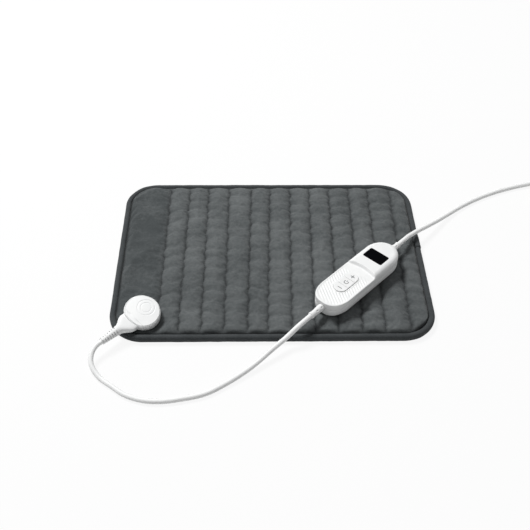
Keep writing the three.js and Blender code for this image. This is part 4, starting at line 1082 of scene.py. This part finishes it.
def add_quilt():
    points, seam_shade, nap, seam_columns = quilt_sheet()
    held = np.zeros(seam_shade.shape, dtype=bool)
    held[:2] = held[-2:] = True
    held[:, :2] = held[:, -2:] = True
    held[seam_columns] = True
    hold, _ = socket_hold(points[..., 0], points[..., 1], held_core)
    held |= hold > 0.05
    points = settled(points, held)
    limit = under_controller(points[..., 0], points[..., 1])
    points[..., 2] = np.minimum(points[..., 2], np.minimum(limit, crown_height + 2.2))
    points, seam_shade, nap = finer(points), finer(seam_shade), finer(nap)
    index = np.arange(seam_shade.size).reshape(seam_shade.shape)
    rim = edge_loop(index)
    rim_points = points.reshape(-1, 3)[rim]
    outward = out_of_rectangle(rim_points[:, :2], cover_half_width, cover_half_depth, cover_corner)
    tucks = [points_of(*(rim_points[:, :2] + out * outward).T, height)
             for out, height in ((1.5, 7.3), (2.2, 6.4))]
    faces = grid_quads(*seam_shade.shape)
    loops = [rim, *[np.arange(len(rim)) + seam_shade.size + turn * len(rim) for turn in range(2)]]
    for upper, lower in zip(loops[:-1], loops[1:]):
        faces += strip_quads(upper, lower)
    faces.append(loops[-1].tolist())
    all_points = np.concatenate([points.reshape(-1, 3), *tucks])
    # The tucked sides under the binding get full painted shade
    all_seam_shade = np.concatenate([seam_shade.ravel(), np.ones(2 * len(rim))])
    all_nap = np.concatenate([nap.ravel(), np.zeros(2 * len(rim))])
    made = add_piece("quilted_top", (all_points, faces), plush, stands_for=["pad_top_cover"],
                     values={"seam_shade": all_seam_shade, "nap": all_nap}, sharp_angle=180.0)
    return points, 2 * seam_columns


def add_stitches(points, seam_columns):
    """A thread for each stitch along the seams: a short rod with its ends dipped into the cloth."""
    dips = points_of(0.0, 0.0, np.array([-0.25, 0.2, 0.37, 0.2, -0.25]))
    runs = []
    for column in seam_columns:
        line = points[column]
        lengths = lengths_along(line)
        starts = np.arange(stitch_margin, lengths[-1] - stitch_margin, stitch_pitch)
        stations = starts[:, None] + np.array([0.0, 0.25, 1.1, 1.95, 2.2])[None, :]
        runs.append(places_at(stations, lengths, line) + dips)
    runs = np.concatenate(runs)
    clear, _ = socket_hold(runs[:, 2, 0], runs[:, 2, 1], stitch_free_core)
    runs = runs[clear < 0.5]
    turn = full_turn(6)
    radius = np.array([0.22, 0.34, 0.38, 0.34, 0.22])
    ring = points_of(np.cos(turn), 0.0, np.sin(turn))
    rods = runs[:, :, None, :] + radius[None, :, None, None] * ring[None, None, :, :]
    count, rows, sides = rods.shape[:3]
    one = np.array(grid_quads(rows, sides, wrapped=True))
    quads = (one[None] + (np.arange(count) * rows * sides)[:, None, None]).reshape(-1, 4).tolist()
    first_cap = (np.arange(count) * rows * sides)[:, None] + np.arange(sides)[None, :]
    caps = first_cap.tolist() + (first_cap + (rows - 1) * sides).tolist()
    add_piece("seam_stitches", (rods.reshape(-1, 3), quads + caps), thread, sharp_angle=80.0)


def add_binding():
    """A rolled tape swept round the pad's edge. Its section is a soft superellipse, pulled in a little by
    shallow folds, and at the lap the tape's end lies over its beginning."""
    count = 1800
    half_width = pad_half_width - binding_half_width
    half_depth = pad_half_depth - binding_half_width
    corner = pad_corner - binding_half_width
    loop, along = rounded_loop(half_width, half_depth, corner, count)
    outward = out_of_rectangle(loop, half_width, half_depth, corner)
    sides = 36
    turn = full_turn(sides) - 0.5 * math.pi
    folds = 0.022 * mottle(along[:, None], 4.0 * turn[None, :], 26.0, 61)
    folds = folds + 0.012 * mottle(along[:, None], 3.0 * turn[None, :], 9.0, 62)
    past = along - lap_at
    lap = lap_rise * smooth(past / 0.7) * (1.0 - smooth((past - lap_length) / 16.0))
    lap = lap - lap_rise * bell(past + 0.9, 0.8)
    scale = 1.0 + folds + lap[:, None]
    power = 0.86
    wide = (binding_half_width * scale - 0.1) * signed_power(np.cos(turn), power)[None, :]
    high = (binding_half_height * scale - 0.1) * signed_power(np.sin(turn), power)[None, :]
    high = np.maximum(high, 0.25 - binding_middle_height)
    points = points_of(loop[:, :1] + outward[:, :1] * wide, loop[:, 1:] + outward[:, 1:] * wide,
                       binding_middle_height + high)
    tape = points_of(along[:, None], turn * binding_half_height, 0.0) * mm
    faces = grid_quads(count, sides, wrapped=True)
    last = np.arange(sides) + (count - 1) * sides
    first = np.arange(sides)
    faces += strip_quads(last, first)
    made = add_piece("rolled_binding", (points.reshape(-1, 3), faces), binding,
                     stands_for=["edge_binding"], values={"tape": tape.reshape(-1, 3)}, sharp_angle=180.0)


def add_back():
    """The cloth under the pad: a flat plush sheet with a soft edge and a faint unevenness."""
    across = np.linspace(-1.0, 1.0, back_columns) * (cover_half_width - 0.1)
    x, depth = np.meshgrid(across, np.linspace(-1.0, 1.0, back_rows), indexing="ij")
    y = depth * half_depth_at(x)
    to_edge = np.minimum(cover_half_width - np.abs(x), half_depth_at(x) - np.abs(y))
    soft = pillow(to_edge + 0.3, 4.0)
    middle = back_thickness / 2.0
    half = (middle - 0.15 + 0.06 * mottle(x, y, 40.0, 71)) * soft
    upper = points_of(x, y, middle + half)
    lower = points_of(x, y, middle - half)
    index = np.arange(x.size).reshape(x.shape)
    rim = edge_loop(index)
    faces = grid_quads(*x.shape) + grid_quads(*x.shape, first=x.size) + strip_quads(rim, rim + x.size)
    points = np.concatenate([upper.reshape(-1, 3), lower.reshape(-1, 3)])
    # No painted shade on the back
    made = add_piece("pad_back", (points, faces), back_plush, stands_for=["pad_bottom_cover"],
                     values={"seam_shade": np.zeros(len(points))}, sharp_angle=180.0)


# Socket and plug

def socket_outline(turn, inset):
    """Distance from the socket's middle to its outline: a circle, with a bulged line across the mouth."""
    radius = socket_radius - inset
    at = mouth_at - inset
    half = math.sqrt(radius**2 - at**2)
    bend = mouth_bulge * np.sin(turn) ** 2 / half**2
    forward = np.cos(turn)
    reach = np.sqrt(np.maximum(forward**2 + 4.0 * bend * (at + mouth_bulge), 0.0))
    line = 2.0 * (at + mouth_bulge) / np.maximum(forward + reach, 1e-6)
    ahead = np.abs(turn) < math.atan2(half, at)
    return np.where(ahead, np.minimum(line, radius + mouth_bulge), radius)


def socket_skin():
    """Rings from the middle of the marks on the top, over the groove along its edge, down the wall and back
    up the inside. Rings near that middle are round, and further out they follow the outline, which is drawn
    out a little across the plug. The top rises evenly away from the mouth. Two round grooves are sunk in it,
    and a crease across it that fades towards its middle."""
    turn = np.linspace(-math.pi, math.pi, 192, endpoint=False)
    out = socket_outline(turn, 0.0)[None, :]
    mark_reach = 12.9
    edge_width = 1.6
    round_share = np.linspace(0.0, 1.0, 52)[:, None]
    out_share = np.linspace(0.0, 1.0, 26)[1:, None]
    x = cap_mark_x + mark_reach * round_share * np.cos(turn)
    y = mark_reach * round_share * np.sin(turn)
    flat_x = np.concatenate([x, x[-1:] + ((out - edge_width) * np.cos(turn) - x[-1:]) * out_share])
    flat_y = np.concatenate([y, y[-1:] + ((out - edge_width) * np.sin(turn) - y[-1:]) * out_share])
    from_mark = np.hypot(flat_x - cap_mark_x, flat_y)
    rings = sum(bell(from_mark - at, 0.45) for at in cap_mark_radii)
    crease = bell(flat_x - cap_crease_x, 0.6) * smooth((np.abs(flat_y) - 1.5) / 6.0)
    dome = 0.35 * (1.0 - np.hypot(flat_x, flat_y) ** 2 / socket_radius**2)
    flat_height = socket_top - 0.45 + dome - cap_mark_depth * rings - cap_crease_depth * crease
    edge = np.array([(1.56, -0.52), (1.5, -1.35), (1.05, -1.4), (0.98, -0.8), (0.75, -0.92), (0.45, -1.2),
                     (0.18, -1.7), (0.04, -2.3), (0.0, -3.0), (0.0, -5.2), (0.0, -7.6), (0.12, -8.1),
                     (0.4, -8.35)])
    wall_radius = out - edge[:, :1]
    wall_height = np.broadcast_to(socket_top + edge[:, 1:], wall_radius.shape)
    outer_x = np.concatenate([flat_x, wall_radius * np.cos(turn)])
    outer_y = np.concatenate([flat_y, wall_radius * np.sin(turn)])
    outer_height = np.concatenate([flat_height, wall_height])
    outer_height = outer_height * (1.0 + (cap_rise - cap_slope * outer_x) / socket_top)
    outer_y = outer_y * (1.0 + cap_widening * smooth((np.abs(outer_y) - 8.0) / 8.0))
    inside = socket_outline(turn, socket_wall)[None, :]
    ceiling = socket_top - socket_wall
    room = np.array([(1.0, 0.35), (1.0, ceiling), (0.6, ceiling), (0.0, ceiling)])
    outer = points_of(outer_x, outer_y, outer_height)
    inner = about_z(inside * room[:, :1], turn, room[:, 1:])
    return skin_of(in_socket(np.concatenate([outer, inner])))


def plug_skin():
    """A superellipse section that narrows from the socket's mouth to the relief like a bell, with a
    fine groove behind its lip. Its face follows the mouth's bulge."""
    share = np.concatenate([[0.0, 0.0, 0.01, 0.03], np.linspace(0.06, 0.12, 7), np.linspace(0.16, 0.97, 26),
                            [0.99, 1.0, 1.0]])
    end = np.concatenate([[0.0, 0.955, 0.985, 0.997], np.ones(7), np.ones(26), [0.985, 0.94, 0.0]])
    flare = 1.0 - smooth((share - 0.22) / 0.68)
    groove = 1.0 - 0.035 * bell(share - 0.09, 0.014)
    half_width = plug_tail_radius + (plug_root_half - plug_tail_radius) * flare
    half_height = plug_tail_radius + (plug_root_half_height - plug_tail_radius) * (1.0 - share)
    half_width = half_width * end * groove
    half_height = half_height * end * groove
    power = 2.0 / (2.0 + 2.0 * (1.0 - share))[:, None]
    rings = squared_rings(mouth_at + seat_gap + plug_length * share, half_width, half_height, power, 64)
    rings[..., 0] += mouth_bulge * (1.0 - (rings[..., 1] / mouth_half) ** 2) * (1.0 - share)[:, None]
    return skin_of(in_socket(at_height(rings, contact_height)))


def add_socket_and_plug():
    cover = add_piece("socket_cap", socket_skin(), white_shell, stands_for=["socket_cover"])
    across = mouth_opening_half * np.array([-1.0, -1.0, 1.0, 1.0])
    mouth = points_of(np.array([10.0, 30.0, 30.0, 10.0]), across, 0.0)
    carve(cover, placed(prism(mouth, 1.9, socket_top - socket_wall - 0.02), in_socket))
    add_piece("plug_bell", plug_skin(), white_shell, body="plug", stands_for=["plug_body"])
    start = mouth_at + 2.0 * seat_gap + plug_length
    ribs = ribbed_skin(start - 0.4, relief_length + 0.4, relief_ribs, relief_start_radius, relief_end_radius,
                       1.8, 0.3)
    add_piece("plug_ribs", skin_of(in_socket(at_height(ribs, contact_height))), white_rubber,
              body="plug", stands_for=["plug_relief"])


# Controller

def controller_ring():
    """The outline's parameters: where each point's end round is centred, how round that end is, and its
    shares of the reach along X and of the half width along Y."""
    far_middle = controller_half_length - far_round
    near_middle = near_round - controller_half_length
    bend = np.linspace(-0.5 * math.pi, 0.5 * math.pi, 90)
    run = np.linspace(far_middle, near_middle, 150)[1:-1]
    far = (np.full(90, far_middle), np.full(90, far_round), np.cos(bend) ** (2.0 / far_power),
           signed_power(np.sin(bend), 2.0 / far_power))
    left = (run, np.full(148, far_round), np.zeros(148), np.ones(148))
    near = (np.full(90, near_middle), np.full(90, near_round), -np.cos(bend) ** (2.0 / near_power),
            signed_power(-np.sin(bend), 2.0 / near_power))
    right = (run[::-1], np.full(148, far_round), np.zeros(148), -np.ones(148))
    return [np.concatenate(parts) for parts in zip(far, left, near, right)]


ring_middle, ring_round, ring_along, ring_across = controller_ring()


def controller_at(side_inset, end_inset):
    """Places on the outline drawn in by an inset along its sides and one at its ends."""
    x = ring_middle + (ring_round - end_inset) * ring_along
    y = (controller_half_width - side_inset) * ring_across
    return np.broadcast_arrays(x, y)


def drawn_in(inset):
    """The outline drawn in by an inset in millimetres, down to the middle line."""
    share = inset / controller_half_width
    return controller_at(inset, ring_round * share)


def past_step(x, y):
    """How far a place lies past the curved step, towards the display."""
    return x - (step_at - step_radius + np.sqrt(np.maximum(step_radius**2 - y**2, 0.0)))


def step_climb(x, y):
    """The share of the climb from the keypad to the display, hollow at its foot."""
    return smooth((past_step(x, y) + 2.6) / 3.4) ** 1.35


def pill_distance(x, y):
    """Distance out of the pill that the buttons make, negative inside it."""
    along = np.maximum(np.abs(x - pill_x) - (pill_half_length - pill_half_width), 0.0)
    return np.hypot(along, y) - pill_half_width


def controller_top(x, y, inset):
    """Height of the top: the keypad, a hollow curve up to the display part, slanting ribs on the keypad's
    near half and a shallow groove round the buttons."""
    top = keypad_height + (display_height - keypad_height) * step_climb(x, y)
    phase = (y * math.cos(rib_lean) - x * math.sin(rib_lean)) / rib_pitch
    from_pill = pill_distance(x, y)
    at_rim = smooth((inset - rib_margin) / 1.2)
    fade = smooth((rib_end - x) / rib_fade) * at_rim * smooth((from_pill - rib_margin) / 0.8)
    ribs = rib_depth * fade * np.abs(np.sin(math.pi * phase)) ** 1.5
    groove = pill_groove_depth * bell(from_pill - 0.75, 0.45)
    return top - ribs - groove


def top_shell_skin():
    """Rings from the ceiling's middle line out and down the inside of the wall, up its outside, over the
    rim, which is crisp at the keypad and soft at the display, and in to the top's middle line."""
    low = parting_height + seat_gap
    rim_x, rim_y = drawn_in(0.0)
    edge = keypad_edge + (display_edge - keypad_edge) * step_climb(rim_x, rim_y)
    rows = []
    for share in np.linspace(1.0, 0.0, 9):
        inset = shell_wall + (controller_half_width - shell_wall) * share
        x, y = drawn_in(inset)
        near = smooth((inset - 0.5) / 6.0)
        raised = np.where(past_step(x, y) > shell_wall, (display_height - keypad_height) * near, 0.0)
        rows.append(points_of(x, y, keypad_height + raised - shell_wall))
    x, y = drawn_in(shell_wall)
    rows.append(points_of(x, y, low))
    for share in (0.0, 0.03, 0.06, 0.3, 0.6, 0.85, 1.0):
        x, y = drawn_in(parting_lip * (1.0 - smooth(share / 0.06)))
        rows.append(points_of(x, y, low + (controller_top(rim_x, rim_y, 0.0) - edge - low) * share))
    for angle in np.radians([8, 18, 28, 38, 48, 58, 68, 76, 84]):
        inset = edge * (1.0 - math.cos(angle))
        x, y = drawn_in(inset)
        rows.append(points_of(x, y, controller_top(x, y, inset) - edge * (1.0 - math.sin(angle))))
    for share in np.linspace(0.0, 1.0, 38):
        inset = edge + (controller_half_width - edge) * share
        x, y = drawn_in(inset)
        rows.append(points_of(x, y, controller_top(x, y, inset)))
    return skin_of(np.stack(rows))


def floor_ring(share, wall):
    """A ring of the shell's floor, from its middle line at 0 to its edge at 1, above a wall's thickness."""
    side = controller_half_width - (controller_half_width - underside_side_inset - wall) * share
    end = ring_round - (ring_round - underside_end_inset - wall) * share
    return points_of(*controller_at(side, end), wall)


def bottom_shell_skin():
    """Rings from the floor's middle line out and up the inside of the wall, down its outside and in under
    the curved underside to its middle line."""
    rows = [floor_ring(share, shell_wall) for share in (0.0, 0.5, 1.0)]
    inner_levels = [(height, shell_wall) for height in (4.0, 6.0, 8.0, parting_height)]
    outer_heights = (parting_height, 12.15, 11.9, 10.5, *np.arange(9.0, 2.5, -1.0), 2.2, 1.5, 0.9, 0.45, 0.15,
                     0.0)
    outer_levels = [(height, parting_lip * smooth((height - 11.9) / 0.5)) for height in outer_heights]
    for height, inset in inner_levels + outer_levels:
        curve = 1.0 - pillow(height, underside_round)
        x, y = controller_at(underside_side_inset * curve + inset, underside_end_inset * curve + inset)
        rows.append(points_of(x, y, height))
    rows += [floor_ring(share, 0.0) for share in (0.85, 0.5, 0.0)]
    return skin_of(np.stack(rows))


def pill_outline(grow, count=72):
    """Points round the pill, grown by a margin."""
    bend = np.linspace(-0.5 * math.pi, 0.5 * math.pi, count // 2)
    straight = pill_half_length - pill_half_width
    radius = pill_half_width + grow
    right = points_of(pill_x + straight + radius * np.cos(bend), radius * np.sin(bend), 0.0)
    left = points_of(pill_x - straight - radius * np.cos(bend), -radius * np.sin(bend), 0.0)
    return np.concatenate([right, left])


def window_outline(grow, count=80):
    loop, _ = rounded_loop(window_half_length + grow, window_half_width + grow, window_corner + grow, count)
    return points_of(window_x + loop[:, 0], loop[:, 1], 0.0)


def add_shell(name, skin, openings):
    """One half of the controller, with openings and the bores for both sleeves cut out of it."""
    made = add_piece(name, placed(skin, in_controller), white_shell,
                     stands_for=[f"{name}_shell"], sharp_angle=32.0)
    bores = [turned_points([start, start + 40.0], [sleeve_bore, sleeve_bore], 48) for start in (50.0, -90.0)]
    cutters = openings + [skin_of(at_height(bore, parting_height), capped=True) for bore in bores]
    carve(made, *[placed(cutter, in_controller) for cutter in cutters])


def add_shells():
    openings = [prism(pill_outline(slide_gap), 15.0, 30.0), prism(window_outline(seat_gap), 18.0, 30.0)]
    add_shell("controller_top", top_shell_skin(), openings)
    recess = about_z(screw_recess_radius, full_turn(32))
    recesses = [prism(recess + np.array([x, y, 0.0]), -2.0, 12.0)
                for x in (-screw_x, screw_x) for y in (-screw_y, screw_y)]
    add_shell("controller_bottom", bottom_shell_skin(), recesses)


def button_outline(middle, turn):
    """Distance from a button's middle to its edge: the pill's outline, cut straight between the buttons."""
    half = pill_half_length / 3.0 - button_gap / 2.0
    straight = pill_half_length - pill_half_width
    along = np.cos(turn)
    aside = np.sin(turn)
    reach = np.linspace(0.0, 14.0, 2801)[:, None]
    x = middle + reach * along
    out = np.hypot(np.maximum(np.abs(x) - straight, 0.0), reach * aside) - pill_half_width
    limit = np.abs(reach * along) - half
    inner = np.maximum(out, np.where(np.sign(along) * np.sign(middle) > 0, -1.0, limit))
    return reach[np.argmax(inner > 0.0, axis=0), 0]


def button_skin(middle):
    """Rings from the dished middle of a button over its rounded edge and down its side."""
    turn = np.linspace(-math.pi, math.pi, 120, endpoint=False)
    out = button_outline(middle, turn)[None, :]
    top = keypad_height + button_proud
    inner = np.linspace(0.0, 1.0, 10)[:, None]
    edge = np.array([(0.42, -0.03), (0.25, -0.1), (0.1, -0.24), (0.02, -0.42), (0.0, -0.7), (0.0, -3.6)])
    flat = about_z((out - 0.6) * inner, turn, top - 0.12 * (1.0 - inner**2))
    wall = about_z(out - edge[:, :1], turn, top + edge[:, 1:])
    close = about_z(0.0, turn, wall[-1:, :, 2])
    return skin_of(np.concatenate([flat, wall, close]) + np.array([pill_x + middle, 0.0, 0.0]))


def bar_mark(length, width, turned=False):
    """A flat printed bar with round ends, as an outline round its own middle."""
    bend = np.linspace(-0.5 * math.pi, 0.5 * math.pi, 12)
    half = length / 2.0 - width / 2.0
    x = np.concatenate([half + width / 2.0 * np.cos(bend), -half - width / 2.0 * np.cos(bend)])
    y = np.concatenate([width / 2.0 * np.sin(bend), -width / 2.0 * np.sin(bend)])
    return points_of(y, x, 0.0) if turned else points_of(x, y, 0.0)


def arc_mark(radius, width, opening, low, high):
    """A printed ring between two heights, with an opening towards +X."""
    turn = np.linspace(opening, 2.0 * math.pi - opening, 40)
    outer = about_z(radius + width / 2.0, turn)
    inner = about_z(radius - width / 2.0, turn)
    loop = [at_height(outer, low), at_height(outer, high), at_height(inner, high), at_height(inner, low)]
    return skin_of(np.stack(loop, axis=1), capped=True)


def add_buttons():
    third = 2.0 * pill_half_length / 3.0
    low = keypad_height + button_proud - 0.3
    high = keypad_height + button_proud + 0.03
    minus = [prism(bar_mark(6.2, 0.9, turned=True), low, high)]
    plus = [prism(bar_mark(6.0, 0.9, turned), low, high) for turned in (False, True)]
    power = [arc_mark(2.6, 0.8, 0.75, low, high),
             prism(bar_mark(3.0, 0.8) + np.array([1.9, 0.0, 0.0]), low, high)]
    marks = {"minus_button": minus, "power_button": power, "plus_button": plus}
    for number, (name, mark) in enumerate(marks.items()):
        middle = (number - 1) * third
        add_piece(f"{name}_cap", placed(button_skin(middle), in_controller), white_rubber,
                  body=name, stands_for=[name])
        points, faces = together(*mark)
        points = in_controller(points + np.array([pill_x + middle, 0.0, 0.0]))
        add_piece(f"{name}_mark", (points, faces), print_grey, body=name)


def add_window():
    """A flat pane with a fine bevel round its edge."""
    levels = [(0.0, -window_thickness), (0.0, -0.35), (-0.12, -0.12), (-0.35, -0.04), (-0.6, -0.03)]
    rings = np.stack([at_height(window_outline(grow), display_height + drop) for grow, drop in levels])
    add_piece("window_pane", skin_of(in_controller(rings), capped=True), black_window,
              stands_for=["display_window"])


def sleeve_skin(length, side):
    """A tapered sleeve, turned, with a raised collar at its end and two small slots."""
    wall = controller_half_length
    sides = 64
    share = np.linspace(0.0, 1.0, 90)
    x = wall + seat_gap + (length - seat_gap) * share
    radius = sleeve_root_radius + (sleeve_end_radius - sleeve_root_radius) * smooth((share - 0.08) / 0.8)
    radius = radius - 0.5 * (1.0 - pillow(share, 0.05))
    collar = collar_height * smooth((share - collar_at) / 0.015)
    radius = radius + collar - 0.35 * (1.0 - pillow(1.0 - share, 0.03))
    turn = full_turn(sides)
    full = np.repeat(radius[:, None], sides, axis=1)
    from_slot = turn - 0.5 * math.pi - slot_turn * side
    for at in slot_shares:
        along = (x[:, None] - x[0] - at * length) / slot_half_length
        away = np.hypot(along, full * np.sin(from_slot) / slot_half_width)
        full -= slot_depth * np.exp(-(away**4)) * (np.cos(from_slot) > 0.0)
    root = sleeve_groove_radius
    start = turned_points([wall - 8.0, wall - 8.0, wall + seat_gap], [0.0, root, root], sides)
    close = turned_points(x[-1:], [0.0], sides)
    points = np.concatenate([start, about_x(x[:, None], full, turn), close]) * np.array([side, side, 1.0])
    return skin_of(in_controller(at_height(points, parting_height)))


def add_controller():
    add_shells()
    add_buttons()
    add_window()
    add_piece("near_sleeve", sleeve_skin(near_sleeve_length, -1.0), white_rubber,
              stands_for=["pad_lead_sleeve"])
    add_piece("far_sleeve", sleeve_skin(far_sleeve_length, 1.0), white_rubber,
              stands_for=["mains_lead_sleeve"])


def finish_inner_nodes():
    """Finishes for the nodes of the model that stay as they are."""
    numbers = range(1, 5)
    finishes = {
        inner_cloth: ["wire_carrier_cloth", "wadding_sheet"],
        wire_red: ["heating_wire"],
        dark_plastic: ["thermal_fuse", "temperature_sensor", "socket_pin_block", "plug_tongue",
                       "minus_button_switch", "power_button_switch", "plus_button_switch", "display_module",
                       "triac", "control_chip"],
        white_shell: ["socket_base", "socket_clamp_plate"],
        steel: ["socket_screw_1", "socket_screw_2", "mains_fuse",
                *[f"controller_screw_{n}" for n in numbers]],
        contact_gold: [f"{kind}_{n}" for kind in ("socket_pin", "plug_contact") for n in numbers],
        board_green: ["circuit_board"],
        capacitor_tan: ["film_capacitor"],
    }
    for material, names in finishes.items():
        for name in names:
            held = nodes_of_model[name].data.materials
            held.clear()
            held.append(material)


quilt_points, quilt_seams = add_quilt()
add_stitches(quilt_points, quilt_seams)
add_binding()
add_back()
add_socket_and_plug()
add_controller()
finish_inner_nodes()


# Floor, light and world
floor_height = -0.3
floor_white = 0.9


def seen_rays(tree):
    """1 for rays that show the floor or the world as a background: camera, glossy and transmission rays."""
    path = node(tree, "ShaderNodeLightPath")
    either = maths(tree, "MAXIMUM", path.outputs["Is Camera Ray"], path.outputs["Is Glossy Ray"])
    return maths(tree, "MAXIMUM", either, path.outputs["Is Transmission Ray"])


def add_floor():
    """A pale floor that shows white and keeps a soft part of the shadows."""
    reach = 4000.0
    x = reach * np.array([-1.0, 1.0, 1.0, -1.0])
    y = reach * np.array([-1.0, -1.0, 1.0, 1.0])
    corners = points_of(x, y, floor_height)
    mesh = bpy.data.meshes.new("floor")
    mesh.from_pydata((corners * mm).tolist(), [], [[0, 1, 2, 3]])
    floor = linked_object("floor", mesh)
    material = bpy.data.materials.new("pale_floor")
    material.use_nodes = True
    tree = material.node_tree
    tree.nodes.clear()
    plain = node(tree, "ShaderNodeBsdfDiffuse", {"Color": (0.8, 0.8, 0.8, 1.0)})
    white = node(tree, "ShaderNodeEmission", {"Color": (1.0, 1.0, 1.0, 1.0), "Strength": 1.0})
    keep = maths(tree, "MULTIPLY", seen_rays(tree), floor_white)
    shown = node(tree, "ShaderNodeMixShader", {0: keep, 1: plain.outputs[0], 2: white.outputs[0]})
    node(tree, "ShaderNodeOutputMaterial", {"Surface": shown.outputs[0]})
    mesh.materials.append(material)


def add_lamp(name, place, target, side, power):
    data = bpy.data.lights.new(name, "AREA")
    data.shape = "SQUARE"
    data.size = side
    data.energy = power
    made = linked_object(name, data)
    made.location = place
    made.rotation_euler = (Vector(target) - Vector(place)).to_track_quat("-Z", "Y").to_euler()


def add_world():
    world = bpy.data.worlds.new("studio")
    bpy.context.scene.world = world
    world.use_nodes = True
    tree = world.node_tree
    tree.nodes.clear()
    light = node(tree, "ShaderNodeBackground", {"Color": (1.0, 1.0, 1.0, 1.0), "Strength": 0.3})
    white = node(tree, "ShaderNodeBackground", {"Color": (1.0, 1.0, 1.0, 1.0), "Strength": 1.0})
    shown = node(tree, "ShaderNodeMixShader", {0: seen_rays(tree), 1: light.outputs[0], 2: white.outputs[0]})
    node(tree, "ShaderNodeOutputWorld", {"Surface": shown.outputs[0]})


add_floor()
add_lamp("key_lamp", (-0.95, 0.85, 2.1), (0.0, 0.0, 0.0), 0.6, 58.0)
add_world()
bpy.context.scene.view_settings.view_transform = "Standard"
